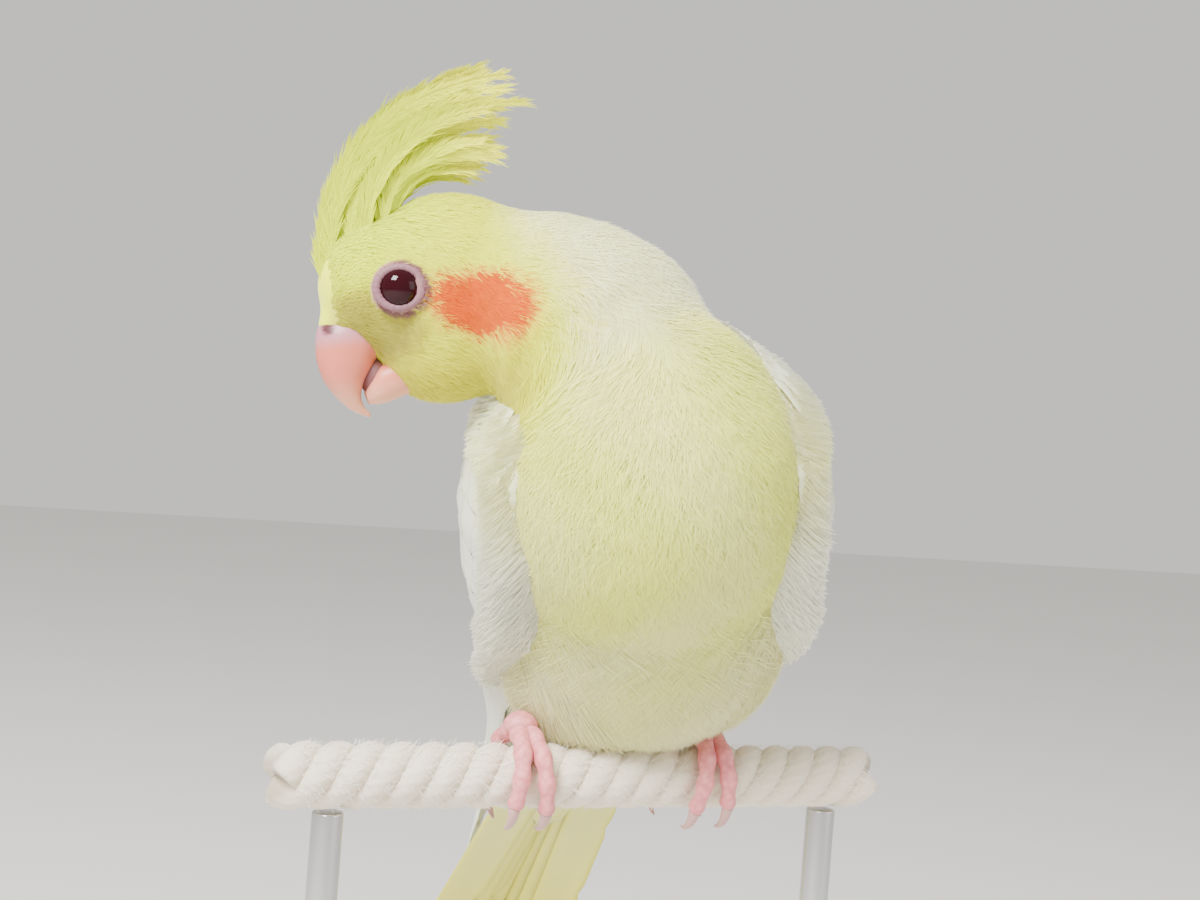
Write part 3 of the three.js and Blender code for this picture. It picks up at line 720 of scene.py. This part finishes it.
def add_vanes(name, feathers, colour_of, finish, *nodes):
    loops, maps, shafts = [], [], []
    for line, normal, half, options in feathers:
        loop, uv, shaft = vane_grids(line, normal, half, **options)
        loops.append(loop)
        maps.append(uv.reshape(-1, 2))
        shafts.append(shaft)
    closed, triangles = closed_tubes(loops)
    shaft_points, shaft_faces = joined_grids(shafts)
    every = np.concatenate([closed, shaft_points])
    shaft_triangles = halved(shaft_faces) + len(closed)
    piece = new_mesh(name, every, np.concatenate([triangles, shaft_triangles]))
    uv = np.concatenate(maps)
    rest = len(every) - len(uv)
    ones = np.concatenate([np.full(len(m), i) for i, m in enumerate(maps)] + [np.zeros(rest, int)])
    uv = np.concatenate([uv, np.zeros((rest, 2))])
    colours = colour_of(every, uv, ones)
    colours[len(closed):] = SHAFT_CREAM
    paint(piece, colours.clip(0, 1))
    lay_map(piece, "barbs", uv)
    print(name, "feathers:", len(feathers))
    return settle(piece, finish, vane_finish, *nodes)


# %% [markdown]
# ## Wings
# A folded wing is a fan of flight feathers laid over one another, with shorter rows of
# coverts on top, like roof tiles. Every feather follows the same tube round the torso, so its
# shaft is a path of angle and height on that tube. The rows keep the solid's plan, with more
# feathers in each, and their lift above the tube grows row by row.

# %% Wings
TUBE_Z = [34, 22, 8, -12, -32, -50, -75, -104]
TUBE_ACROSS = [17, 25, 28.5, 29, 25, 17, 11.5, 7]
TUBE_DEEP = [17, 22, 25.5, 24, 17.5, 11, 8.5, 6]
VANE_ROLL = math.radians(9)
# Feathers, root z, tip z, angles at the root, angles at the tip, half width, lift, blunt tip
WING_ROWS = [
    (7, (2, -4), (-100, -66), (-44, -18), (36, 62), 4.4, 0.5, 0.3),
    (9, (6, 12), (-27, -50), (-24, 56), (-20, 66), 6.2, 1.2, 0.36),
    (9, (18, 16), (-6, -16), (-32, 58), (-28, 64), 5.4, 2.0, 0.42),
    (8, (23, 21), (4, -4), (-32, 57), (-32, 62), 4.9, 2.4, 0.46),
    (8, (27, 25), (13, 5), (-24, 56), (-30, 60), 4.4, 2.7, 0.5),
    (8, (31, 29), (20, 13), (-12, 52), (-22, 56), 3.9, 2.8, 0.5),
    (7, (33, 32), (25, 20), (4, 48), (-8, 50), 3.4, 2.8, 0.5),
    (4, (29, 24), (2, -20), (58, 64), (54, 62), 4.0, 0.9, 0.4),
]


def tube(z, heights):
    return np.interp(-np.asarray(z, float), -np.array(TUBE_Z, float), heights)


def wing_point(side, z, angle, lift):
    a = np.radians(angle)
    x = side * (tube(z, TUBE_ACROSS) + lift) * np.cos(a)
    return torso_point(x, 1 + (tube(z, TUBE_DEEP) + lift) * np.sin(a), z)


def tucked(z):
    """The share of a feather's lift that is left near the shoulder, where it tucks in."""
    return 0.1 + 0.9 * smooth((36 - z) / 14)


def wing_feather(side, row, share, stations=18):
    count, root, tip, start, end, half, lift, blunt = row
    top, low, first, last = (a + (b - a) * share for a, b in (root, tip, start, end))
    t = np.linspace(0, 1, stations)
    z = top + (low - top) * t
    angle = first + (last - first) * smooth(t * 0.9 + 0.05)
    rise = lift + 0.75 * t * (1 - 0.4 * t) + 0.05 * count * share
    rise = rise * tucked(z)
    line = wing_point(side, z, angle, rise)
    normal = unit(wing_point(side, z, angle, rise + 1) - line)
    roll = VANE_ROLL * side
    along = unit(np.gradient(line, axis=0))
    normal = normal * math.cos(roll) + np.cross(along, normal) * math.sin(roll)
    wide = half * rng.uniform(0.94, 1.06)
    return line, normal, wide, {"tip": blunt, "slits": 1, "camber": 0.14}


def wing_colour(points, uv, number):
    t = in_torso(points)
    near_breast = smooth((t[:, 2] - 4) / 18) * smooth((12 - t[:, 1]) / 20)
    # Vanes are painted up to 5% darker toward their edges, as painted shade between overlapping
    # feathers; the small sine term is a random tone for each feather.
    tone = 1 + 0.03 * np.sin(number * 12.9898) - 0.05 * smooth((np.abs(uv[:, 0]) - 2.4) / 3)
    colour = blend(WING_WHITE, WING_TINT, 0.4 * near_breast)
    return colour * tone[:, None]


def make_wing(name, side):
    feathers = []
    for row in WING_ROWS:
        for share in np.linspace(0, 1, row[0]):
            feathers.append(wing_feather(side, row, share))
    return add_vanes(name + "_vanes", feathers, wing_colour, "wing_feather", name)


make_wing("wing_left", 1)
make_wing("wing_right", -1)

# %% [markdown]
# ## Wing base
# Between the rows and the torso a real wing has arm and flesh under down. A thin shell on
# the same tube closes the view between feathers; small soft tufts cover the shoulder.


# %% Wing base
def wing_shell(name, side):
    z = np.array([25.0, 22, 17, 8, -4, -16, -26, -34])
    start = np.array([10.0, -20, -34, -38, -34, -28, -18, -4])
    end = np.array([30.0, 50, 58, 62, 64, 66, 68, 66])
    share = np.linspace(0, 1, 24)[None]
    angle = start[:, None] + (end - start)[:, None] * share
    heights = np.broadcast_to(z[:, None], angle.shape)
    swell = np.sin(np.pi * (0.06 + 0.88 * share))
    top = wing_point(side, heights, angle, 0.2 + 1.5 * swell)
    low = wing_point(side, heights, angle, -0.8 + 0 * swell)
    loop = np.concatenate([top, low[:, ::-1]], 1)
    points, triangles = closed_tubes([loop])
    shell = new_mesh(name, points, triangles)
    # The shell is painted 6% darker than the wing's white, as painted shade where it shows in the
    # gaps between feathers.
    paint(shell, np.tile(WING_WHITE * 0.94, (len(points), 1)))
    return settle(shell, "wing_feather", barb_finish)


wing_shell("wing_shell_left", 1)
wing_shell("wing_shell_right", -1)


def edge_roots(count):
    """Roots along the wing's front edge, and then along its top edge."""
    front = int(count * 0.7)
    step = rng.uniform(0, 1, count) ** 1.2
    z = rng.uniform(-29, 30, count)
    edge = np.interp(-z, [-33, -26, -12, 6, 22, 36, 40], [8, -28, -42, -40, -28, -10, -4])
    angle = edge - 8 + step * 20
    z[front:] = 34 - 12 * step[front:]
    angle[front:] = rng.uniform(-30, 78, count - front)
    return z, angle, step


def wing_edge_tufts(name, side):
    count, blades = 4000, 4
    z, angle, step = edge_roots(count)
    lift = 3.9 * np.sin(np.clip(step * 1.8, 0, 1) * np.pi / 2) - 0.6 * (1 - step)
    lift = lift * tucked(z) * (0.3 + 0.7 * smooth((z + 34) / 14))
    root = wing_point(side, z, angle, lift)
    out = unit(wing_point(side, z, angle - (1 - step) * 12, lift + 2) - root)
    lie = unit(wing_point(side, z - 1, angle + 0.6, lift - 0.05) - root)
    spread = rng.normal(0, 0.1, (count, 1)) + np.linspace(-0.3, 0.3, blades)[None]
    size = rng.uniform(3.4, 5.2, (count, 1)) * rng.uniform(0.8, 1.1, (count, blades))
    points, faces = tuft_points(root, out, lie, size, np.full((count, blades), 0.19),
                                spread, np.full(count, 0.3), np.full(count, 0.3))
    piece = new_mesh(name, points, faces)
    tone = np.repeat(rng.uniform(0.94, 1.03, count), blades * BLADE_POINTS)[:, None]
    colours = wing_colour(points, 0 * points[:, :2], np.zeros(len(points)))
    paint(piece, (colours * tone).clip(0, 1))
    return settle(piece, "wing_feather", barb_finish)


wing_edge_tufts("wing_edge_left", 1)
wing_edge_tufts("wing_edge_right", -1)

# %% [markdown]
# ## Tail
# Twelve long narrow feathers lie in pairs, the middle pair longest, each pair a little
# lower than the one inside it. Six coverts above and six below hide their roots.

# %% Tail
TAIL_ROOT, COVERT_ROOT, TAIL_LEVEL = -45, -40, -3
TAIL_TIPS = [-188, -182, -168, -152, -136, -120]


def tail_feather(side, pair):
    t = np.linspace(0, 1, 36)
    z = TAIL_ROOT + (TAIL_TIPS[pair] - TAIL_ROOT) * t
    x = side * ((0.6 + 1.1 * pair) + (1.4 + 1.0 * pair) * t)
    y = TAIL_LEVEL - 0.2 * pair - 0.7 * pair * t + 0.25 * side
    line = torso_point(x, y, z)
    normal = np.tile(TORSO_TURN @ np.array([side * 0.13, 1.0, 0]), (len(t), 1))
    shape = {"tip": 0.22, "slits": 2, "root": 0.4, "thick": 0.34, "camber": 0.1}
    return line, unit(normal), 5.2 - 0.15 * pair, shape


def tail_covert(side, step, level):
    t = np.linspace(0, 1, 14)
    z = COVERT_ROOT + (7 * step - 34) * t
    x = side * (1.5 + 3.2 * step) * (0.6 + 0.4 * t)
    y = TAIL_LEVEL + level * (5.4 - 3.6 * t)
    normal = np.tile(TORSO_TURN @ np.array([side * 0.15, level, 0]), (len(t), 1))
    return torso_point(x, y, z), unit(normal), 4.4, {"tip": 0.5, "slits": 1}


def tail_colour(points, uv, number):
    share = smooth((-in_torso(points)[:, 2] - 52) / 70)
    colour = blend(TAIL_PALE, TAIL_YELLOW, share)
    edge = smooth((np.abs(uv[:, 0]) - 3.0) / 2)
    tone = 1 + 0.03 * np.sin(number * 7.1)
    return blend(colour, TAIL_EDGE, 0.6 * edge) * tone[:, None]


feathers = [tail_feather(s, k) for k in reversed(range(6)) for s in (1, -1)]
feathers += [tail_covert(s, k, level) for level in (1, -1) for k in range(3) for s in (1, -1)]
add_vanes("tail_vanes", feathers, tail_colour, "tail_feather", "tail")

# %% [markdown]
# ## Crest
# The crest's feathers grow from forehead to crown and bend back in a plume. Their barbs
# don't hook together, so each one is a thin shaft with loose barbs leaving it at a slant.
# The barbs are short blades with free tips, and each feather bends on a path of its own.

# %% Crest
CREST_COUNT, BARBS_PER_MM = 32, 9


def crest_path(share, stations=24):
    ease = share ** 0.6
    at_x, at_z = -22 + 14 * ease, 1.5 + 11.9 * ease
    length = (46 - 31 * share ** 0.85) * rng.uniform(0.8, 1.1)
    start = math.radians(100 - 16 * share)
    end = math.radians(52 - 26 * share + rng.normal(0, 4))
    way = np.linspace(0, 1, stations)
    turn = start + (end - start) * way
    side = rng.uniform(-2.6, 2.6)
    x = at_x + np.cos(turn) * way * length + 0.8
    z = at_z + np.sin(turn) * way * length - 1.2
    y = side * (0.9 + 0.9 * way) + rng.normal(0, 0.8) * way ** 2
    return head_point(x, y, z), length


def at_shares(line, t):
    spot = np.linspace(0, 1, len(line))
    return np.stack([np.interp(t, spot, line[:, k]) for k in range(3)], -1)


def barb_blades(line, length):
    """Root, normal, way, size and share along the shaft of each barb of one feather."""
    steps = int(length * BARBS_PER_MM)
    t = np.sort(rng.uniform(0.04, 1.0, steps))
    root, along = at_shares(line, t), at_shares(unit(np.gradient(line, axis=0)), t)
    bend = unit(np.cross(along, np.tile(HEAD_TURN[:, 1], (steps, 1))))
    flat = unit(bend * rng.uniform(0.6, 0.95) + HEAD_TURN[:, 1] * rng.uniform(-0.7, 0.7))
    normal = unit(np.cross(along, flat))
    hand = rng.choice([-1.0, 1.0], steps)[:, None]
    slant = np.radians(rng.uniform(7, 19, steps))[:, None]
    way = along * np.cos(slant) + flat * hand * np.sin(slant)
    size = (3.6 + 4.5 * np.sin(np.pi * np.clip(t, 0, 0.85))) * (1 - 0.4 * t)
    size = size * rng.uniform(0.6, 1.15, steps)
    return root, normal, unit(way), size, t


def make_crest():
    barbs, shafts = [], []
    for k in range(CREST_COUNT):
        line, length = crest_path(min(1, (k + rng.uniform(0, 0.8)) / CREST_COUNT))
        barbs.append(barb_blades(line, length))
        along = unit(np.gradient(line, axis=0))
        side = unit(np.cross(along, HEAD_TURN[:, 1]))
        radius = 0.2 * (1 - 0.85 * np.linspace(0, 1, len(line)))
        shafts.append(rings_round(line, side, np.cross(along, side), radius, 5))
    roots, outs, lies, size, share = (np.concatenate(column) for column in zip(*barbs))
    count = len(roots)
    spread = rng.normal(0, 0.05, (count, 2)) + [[-0.05, 0.05]]
    points, faces = tuft_points(roots, outs, lies, size[:, None] * [[1, 0.8]],
                                np.full((count, 2), 0.11), spread, np.full(count, 0.1),
                                np.full(count, -0.2))
    shaft_points, shaft_faces = joined_grids(shafts)
    crest = new_mesh("crest_plume", np.concatenate([points, shaft_points]),
                     np.concatenate([faces, halved(shaft_faces) + len(points)]))
    tone = blend(LEMON, LEMON_TIP, smooth((share - 0.5) / 0.5))
    tone = tone * rng.uniform(0.9, 1.05, count)[:, None]
    tone = np.repeat(tone, 2 * BLADE_POINTS, axis=0)
    paint(crest, np.concatenate([tone, np.tile(LEMON, (len(shaft_points), 1))]).clip(0, 1))
    print("crest barbs:", count)
    return settle(crest, "crest_feather", plume_finish, "crest")


make_crest()

# %% [markdown]
# ## Bill
# The bill is horn over bone: two hooked shells that meet in a line. Each is a loft of round
# sections. The upper one's stations are crowded toward the hook, where it turns hardest.

# %% Bill
UPPER = [((-17, -1.5), (-11, -7), 4.6), ((-20.6, -2.6), (-12.2, -8.6), 4.9),
         ((-22.3, -4.2), (-13.4, -9.8), 5.0), ((-22.9, -8.2), (-14.2, -11.2), 4.7),
         ((-22.2, -12.2), (-15.8, -13.2), 3.9), ((-20.4, -15.3), (-16.6, -15.2), 2.7),
         ((-18.2, -17.6), (-16.4, -16.9), 1.5), ((-15.8, -18.9), (-15.4, -18.4), 0.4)]
LOWER = [((-9.3, -9.6), (-6, -15), 4.2), ((-13.4, -10.8), (-10.6, -16.4), 4.1),
         ((-15.1, -12.8), (-13.4, -17.0), 3.4), ((-16.0, -14.8), (-15.5, -16.8), 1.8)]


def fine(values, count):
    """A smooth curve through the station values."""
    values = np.asarray(values, float)
    s = np.linspace(0, len(values) - 1, count)
    i = np.clip(s.astype(int), 0, len(values) - 2)
    f = (s - i)[:, None] if values.ndim > 1 else s - i
    slope = np.gradient(values, axis=0)
    a, b, m, n = values[i], values[i + 1], slope[i], slope[i + 1]
    return (a * (2 * f**3 - 3 * f**2 + 1) + m * (f**3 - 2 * f**2 + f)
            + b * (3 * f**2 - 2 * f**3) + n * (f**3 - f**2))


HORN_RINGS, HORN_SIDES = 40, 40


def horn(stations):
    top, under, half = (fine(values, HORN_RINGS) for values in zip(*stations))
    half = np.maximum(half, 0.3)
    a = circle(HORN_SIDES)
    up = np.cos(a)
    share = (np.sign(up) * np.abs(up) ** 0.9 + 1) / 2
    side = np.sign(np.sin(a)) * np.abs(np.sin(a)) ** 0.8
    xz = under[:, None] + (top - under)[:, None] * share[None, :, None]
    return head_point(xz[..., 0], half[:, None] * side[None], xz[..., 1])


def plain_piece(name, grid, finish, material, *nodes):
    piece = new_mesh(name + "_fine", *closed_tubes([grid]))
    return settle(piece, finish, material, *nodes)


def horn_material():
    material, tree, shader = fresh_material("horn")
    painted(tree, shader.inputs["Base Color"])
    put(shader, Roughness=0.42, Subsurface_Weight=0.35, Subsurface_Scale=0.0015)
    bump_from(tree, shader, noise_node(tree, 900).outputs["Fac"], 0.15, 0.0002)
    return material


horn_finish = horn_material()
CERE, HORN, HORN_TIP = srgb(192, 130, 140), srgb(214, 116, 94), srgb(226, 162, 130)
NOSTRIL_SHADE, NOSTRIL_XZ = srgb(90, 40, 48), (-20.6, -4.1)


def paint_bill(piece):
    h = in_head(points_of(piece))
    colour = blend(CERE, HORN, smooth((-h[:, 2] - 5.0) / 3))
    colour = blend(colour, HORN_TIP, smooth((-h[:, 2] - 11) / 6))
    # The nostril is a dark disc painted on the cere: painted shade standing for the depth of its
    # hole.
    off_nostril = np.hypot(h[:, 0] - NOSTRIL_XZ[0], h[:, 2] - NOSTRIL_XZ[1])
    paint(piece, blend(colour, NOSTRIL_SHADE, smooth((1.25 - off_nostril) / 0.5)))


for name, stations in (("bill_upper", UPPER), ("bill_lower", LOWER)):
    paint_bill(plain_piece(name, horn(stations), "bill", horn_finish, name))


def make_shaded_mouth():
    """The inside of the mouth, which shows as the line where the shells meet; its dark red is
    painted shade.
    """
    v = np.linspace(0.02, math.pi - 0.02, 24)[:, None]
    a = circle(32)[None]
    forward = 3.0 * np.sin(v) * np.cos(a)
    grid = head_point(-13.7 + forward, 3.0 * np.sin(v) * np.sin(a),
                      -12.8 + 3.9 * np.cos(v) - forward * 0.3)
    return plain_piece("mouth", grid, "bill", plain_material("mouth", (0.16, 0.05, 0.05), 0.6))


make_shaded_mouth()

# %% [markdown]
# ## Eyes
# Each eye is a glossy ball set deep between bare lids. Its red is so dark that iris and pupil
# look like one. The lid is a finely wrinkled ring round the ball.

# %% Eyes
EYE_RADIUS, EYE_FLAT, EYE_DEPTH = 3.1, 2.3, 1.0
LID_RADIUS, LID_HALF, LID_DEPTH = 3.3, 0.62, 0.35


def eye_place(side):
    middle, outer = head_point(EYE_XZ[0], 0, EYE_XZ[1]), HEAD_TURN[:, 1] * side
    axis = unit(HEAD_TURN @ np.array([-0.12, side, 0.03]))
    return middle + outer * reach(middle, outer, 20), axis


def round_about(axis):
    u = unit(np.cross(axis, HEAD_TURN[:, 2]))
    return u, np.cross(axis, u)


def ball_grid(at, axis, rings=24, segments=48):
    u, v = round_about(axis)
    tip = np.linspace(0.01, math.pi - 0.01, rings)[:, None, None]
    a = circle(segments)[None, :, None]
    round_part = (u * np.cos(a) + v * np.sin(a)) * np.sin(tip) * EYE_RADIUS
    return at - axis * EYE_DEPTH + round_part + axis * np.cos(tip) * EYE_FLAT


def lid_grid(at, axis, segments=96, sides=20):
    u, v = round_about(axis)
    a = np.linspace(0, 2 * math.pi, segments + 1)[:, None, None]
    b = circle(sides)[None, :, None]
    wrinkled = LID_HALF * (1 + 0.05 * np.sin(a * 23) * (np.sin(b) > -0.5))
    out = u * np.cos(a) * 1.08 + v * np.sin(a) * 0.95
    height = 0.8 * wrinkled * np.sin(b) - LID_DEPTH
    return at + out * (LID_RADIUS + wrinkled * np.cos(b)) + axis * height


def bare_material():
    material, tree, shader = fresh_material("bare skin")
    put(shader, Base_Color=(*srgb(134, 92, 100), 1), Roughness=0.6, Subsurface_Weight=0.3,
        Subsurface_Scale=0.001)
    bump_from(tree, shader, noise_node(tree, 2600).outputs["Fac"], 0.5, 0.0002)
    return material


eye_finish = plain_material("eyeball", (0.02, 0.001, 0.003), 0.05, Specular_IOR_Level=0.2)
bare_finish = bare_material()
for name, side in (("left", 1), ("right", -1)):
    at, axis = eye_place(-side)
    plain_piece(f"eye_{name}", ball_grid(at, axis), "eye", eye_finish, f"eye_{name}")
    points, faces = joined_grids([lid_grid(at, axis)])
    settle(new_mesh(f"lid_{name}", points, faces[:, ::-1]), "body_feather", bare_finish)
print("eye across:", 2 * EYE_RADIUS, "mm")

# %% [markdown]
# ## Feet
# Two toes point forward and two back, and they wrap the rope. A toe is a run of pads with
# fine scales on top, so its radius swells between the joints and a cell pattern gives bumps.

# %% Feet
GRIP, TOE_RADIUS, CLAW_LENGTH = 7.65, 1.65, 6.0
FOOT_X = {"left": 18.8, "right": -15.5}
TOES = {"inner_front": ((-1, -3.4), (104, 222)), "outer_front": ((1, 2.6), (100, 214)),
        "inner_back": ((-1.2, -6.4), (84, -22)), "outer_back": ((1.2, 2.6), (82, -26))}


def around_rope(x, turn, r):
    a = np.radians(turn)
    return np.stack(np.broadcast_arrays(x, r * np.cos(a), r * np.sin(a)), -1)


def sweep(line, radius, segments=24, across=(1, 0, 0)):
    """A tube of rings along a line, with one radius a ring or one for each point of it."""
    along = unit(np.gradient(line, axis=0))
    side = np.tile(np.array(across, float), (len(line), 1))
    side = unit(side - along * np.sum(side * along, -1, keepdims=True))
    up = np.cross(along, side)
    a = circle(segments)[None, :, None]
    ring = side[:, None] * np.cos(a) + up[:, None] * np.sin(a)
    return line[:, None] + ring * np.asarray(radius, float).reshape(len(line), -1, 1)


def foot_material():
    material, tree, shader = fresh_material("foot skin")
    cells = tree.nodes.new("ShaderNodeTexVoronoi")
    cells.inputs["Scale"].default_value = 900
    where = tree.nodes.new("ShaderNodeTexCoord")
    tree.links.new(where.outputs["Object"], cells.inputs["Vector"])
    # The cells are painted darker toward their edges: painted shade in the creases between the
    # scales.
    crease_shade_ramp = tree.nodes.new("ShaderNodeValToRGB")
    crease_shade_ramp.color_ramp.elements[0].color = (*srgb(236, 154, 152), 1)
    crease_shade_ramp.color_ramp.elements[1].color = (*srgb(202, 112, 120), 1)
    tree.links.new(cells.outputs["Distance"], crease_shade_ramp.inputs["Fac"])
    tree.links.new(crease_shade_ramp.outputs["Color"], shader.inputs["Base Color"])
    put(shader, Roughness=0.5, Subsurface_Weight=0.4, Subsurface_Scale=0.002)
    bump_from(tree, shader, cells.outputs["Distance"], -0.6, 0.0003)
    return material


MIRROR = {"left": 1, "right": -1}


def toe_grid(name, toe):
    xs, turns = toe
    t = np.linspace(0, 1, 60)
    x = FOOT_X[name] + MIRROR[name] * (xs[0] + (xs[1] - xs[0]) * t)
    turn = turns[0] + (turns[1] - turns[0]) * t
    pads = 1 + 0.09 * np.sin(t * math.pi * 2 * 3.5) - 0.22 * t
    round_end = np.sqrt(np.clip(1 - np.clip((t - 0.93) / 0.07, 0, 1) ** 2, 0.05, 1))
    return sweep(around_rope(x, turn, GRIP), TOE_RADIUS * pads * round_end)


def claw_grid(name, toe):
    xs, turns = toe
    sense = 1 if turns[1] > turns[0] else -1
    t = np.linspace(0, 1, 24)
    bow = np.degrees(CLAW_LENGTH / GRIP)
    turn = turns[1] + sense * (bow * t - 3)
    x = np.full(24, FOOT_X[name] + MIRROR[name] * xs[1])
    bowed = GRIP + 0.3 + 0.9 * np.sin(t * 2.2)
    return sweep(around_rope(x, turn, bowed), (1 - t) ** 0.7 + 0.05)


foot_finish = foot_material()
claw_finish = plain_material("claw", srgb(192, 148, 142), 0.35)


def palm_grid(name):
    share = np.linspace(0.01, 0.99, 24)
    level = 0 * share
    line = np.stack([FOOT_X[name] + level, 0.6 + level, GRIP - 1.6 + 5.0 * share], -1)
    return sweep(line, 3.0 * np.sin(np.pi * share) ** 0.55)


def make_foot(name):
    grids = [toe_grid(name, toe) for toe in TOES.values()] + [palm_grid(name)]
    foot = new_mesh(f"foot_{name}_fine", *closed_tubes(grids))
    settle(foot, "foot_skin", foot_finish, f"foot_{name}")
    for key, toe in TOES.items():
        node = f"claw_{name}_{key}"
        plain_piece(node, claw_grid(name, toe), "claw", claw_finish, node)
    print("foot", name, "at x", FOOT_X[name])


make_foot("left")
make_foot("right")

# %% [markdown]
# ## Rope
# Three strands twist round each other, and each strand is itself a bundle of cotton yarns.
# The strands are swept tubes whose bump follows the yarns; loose fibres stand off the surface.

# %% Rope
ROPE_LEAD, ROPE_FROM, ROPE_TO = 16.2, -57.0, 52.0
STRAND_AT, STRAND_RADIUS, YARN_DEPTH, CORE_RADIUS = 2.65, 2.8, 0.14, 3.6
ROPE_STATIONS, ROPE_SIDES = 150, 36
GROOVE_SHADE, COTTON, FUZZ = srgb(178, 164, 142), srgb(230, 217, 194), srgb(240, 234, 222)


def rope_material():
    material, tree, shader = fresh_material("cotton rope")
    painted(tree, shader.inputs["Base Color"])
    put(shader, Roughness=0.9, Sheen_Weight=0.3)
    bump_from(tree, shader, noise_node(tree, 1500).outputs["Fac"], 0.5, 0.0003)
    return material


rope_finish = rope_material()


def rope_line(inset):
    x = np.linspace(ROPE_FROM + inset, ROPE_TO - inset, ROPE_STATIONS)
    return np.stack([x, 0 * x, 0 * x], -1)


def strand(phase):
    line = rope_line(0.4)
    x = line[:, 0]
    turn = phase - x / ROPE_LEAD * 2 * math.pi
    line = line + STRAND_AT * around_rope(0 * x, np.degrees(turn), 1.0)
    yarn = YARN_DEPTH * np.abs(np.sin(4.5 * (circle(ROPE_SIDES)[None] + x[:, None] * 0.7)))
    return sweep(line, STRAND_RADIUS + yarn, ROPE_SIDES, across=(0, 0, 1))


def make_rope():
    grids = [strand(phase) for phase in (0, 2.0944, 4.1888)]
    core = np.full(ROPE_STATIONS, CORE_RADIUS)
    grids.append(sweep(rope_line(1.5), core, ROPE_SIDES, across=(0, 0, 1)))
    points, triangles = closed_tubes(grids)
    rope = new_mesh("rope_strands", points, triangles)
    # Near the rope's axis the cotton is painted darker: painted shade in the grooves between the
    # strands.
    deep = np.hypot(points[:, 1], points[:, 2])
    paint(rope, blend(GROOVE_SHADE, COTTON, smooth((deep - 3.4) / 1.8)))
    settle(rope, "rope", rope_finish, "perch_rope")


def make_fuzz():
    count = 5200
    x = rng.uniform(ROPE_FROM + 2, ROPE_TO - 2, count)
    a = rng.uniform(0, 2 * math.pi, count)
    out = around_rope(0 * x, np.degrees(a), 1.0)
    lie = unit(np.cross(out, [1.0, 0, 0]) * rng.normal(0, 1, (count, 1)) + [[0.8, 0, 0]])
    root = out * 5.2 + np.stack([x, 0 * x, 0 * x], -1)
    fuzz, fuzz_faces = tuft_points(root, out, lie, rng.uniform(1, 2.6, (count, 1)),
                                   np.full((count, 1), 0.035), np.zeros((count, 1)),
                                   rng.uniform(0.1, 0.9, count), np.zeros(count))
    piece = new_mesh("rope_fuzz", fuzz, fuzz_faces)
    paint(piece, np.tile(FUZZ, (len(fuzz), 1)))
    settle(piece, "rope", rope_finish)


make_rope()
make_fuzz()
print("rope length:", ROPE_TO - ROPE_FROM, "mm")

# %% [markdown]
# ## Stand
# The stand is a plain board and two metal rods. The board is a stack of rings of one rounded
# outline. Each rod starts as a cylinder and gets a small bevel on its ends, because a sharp
# edge never catches light the way a sanded one does.

# %% Stand
BOARD_CORNER, BOARD_ROUND, ROD_BEVEL = 14.0, 1.6, 0.0003


def make_board():
    """Rings of a rectangle with round corners, stepped inward at the foot and at the top."""
    low, high = (np.array(corner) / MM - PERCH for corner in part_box("stand_base"))
    middle, half = (low + high) / 2, (high - low) / 2
    turn = np.linspace(0, math.pi / 2, 6)
    inset = BOARD_ROUND * (1 - np.sin(turn))
    rise = BOARD_ROUND * (1 - np.cos(turn))
    inset = np.concatenate([inset, inset[::-1]])[:, None]
    height = np.concatenate([low[2] + rise, high[2] - rise[::-1]])[:, None]
    a = (np.arange(96) + 0.5)[None] * 2 * math.pi / 96
    x = middle[0] + np.sign(np.cos(a)) * (half[0] - BOARD_CORNER)
    y = middle[1] + np.sign(np.sin(a)) * (half[1] - BOARD_CORNER)
    x = x + (BOARD_CORNER - inset) * np.cos(a)
    y = y + (BOARD_CORNER - inset) * np.sin(a)
    board = plain_piece("stand_base", np.stack(np.broadcast_arrays(x, y, height), -1), "stand",
                        plain_material("board", srgb(226, 222, 214), 0.5), "stand_base")
    board.data.shade_flat()


def make_rod(name, finish):
    low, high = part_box(name)
    bpy.ops.object.select_all(action="DESELECT")
    bpy.ops.mesh.primitive_cylinder_add(vertices=64, radius=(high.x - low.x) / 2,
                                        depth=high.z - low.z, location=(low + high) / 2)
    rod = bpy.context.object
    rod.name = name + "_fine"
    bpy.ops.object.transform_apply(location=True, rotation=True, scale=True)
    bevel = rod.modifiers.new("edge", "BEVEL")
    bevel.width, bevel.segments, bevel.limit_method = ROD_BEVEL, 4, "ANGLE"
    bpy.ops.object.modifier_apply(modifier=bevel.name)
    bpy.ops.object.shade_smooth_by_angle(angle=math.radians(35))
    settle(rod, "rod", finish, name)


make_board()
rod_finish = plain_material("rod", (0.6, 0.6, 0.6), 0.32, Metallic=1.0)
make_rod("stand_rod_left", rod_finish)
make_rod("stand_rod_right", rod_finish)

# %% [markdown]
# ## Floor and light
# A pale floor and a bright, even world stand for the studio. A broad lamp from above and
# the left gives the soft shadows between the feathers, and a weaker one fills the right.

# %% Stage
bpy.ops.mesh.primitive_plane_add(size=6, location=(0, 0, 0))
floor = bpy.context.object
floor.name = "floor"
floor.data.materials.append(plain_material("floor", srgb(232, 230, 226), 0.8))
world = bpy.data.worlds.new("studio")
bpy.context.scene.world = world
world.use_nodes = True
put(world.node_tree.nodes["Background"], Color=(1, 0.985, 0.955, 1), Strength=0.8)


def add_lamp(name, place, power, size):
    bpy.ops.object.light_add(type="AREA", location=place)
    lamp = bpy.context.object
    lamp.name = name
    lamp.data.energy, lamp.data.size = power, size
    aim = Vector((-0.01, -0.03, 0.18)) - Vector(place)
    lamp.rotation_euler = aim.to_track_quat("-Z", "Y").to_euler()


add_lamp("key", (-0.55, -0.45, 0.85), 30.0, 0.35)
add_lamp("fill", (0.7, -0.7, 0.5), 3.0, 0.6)
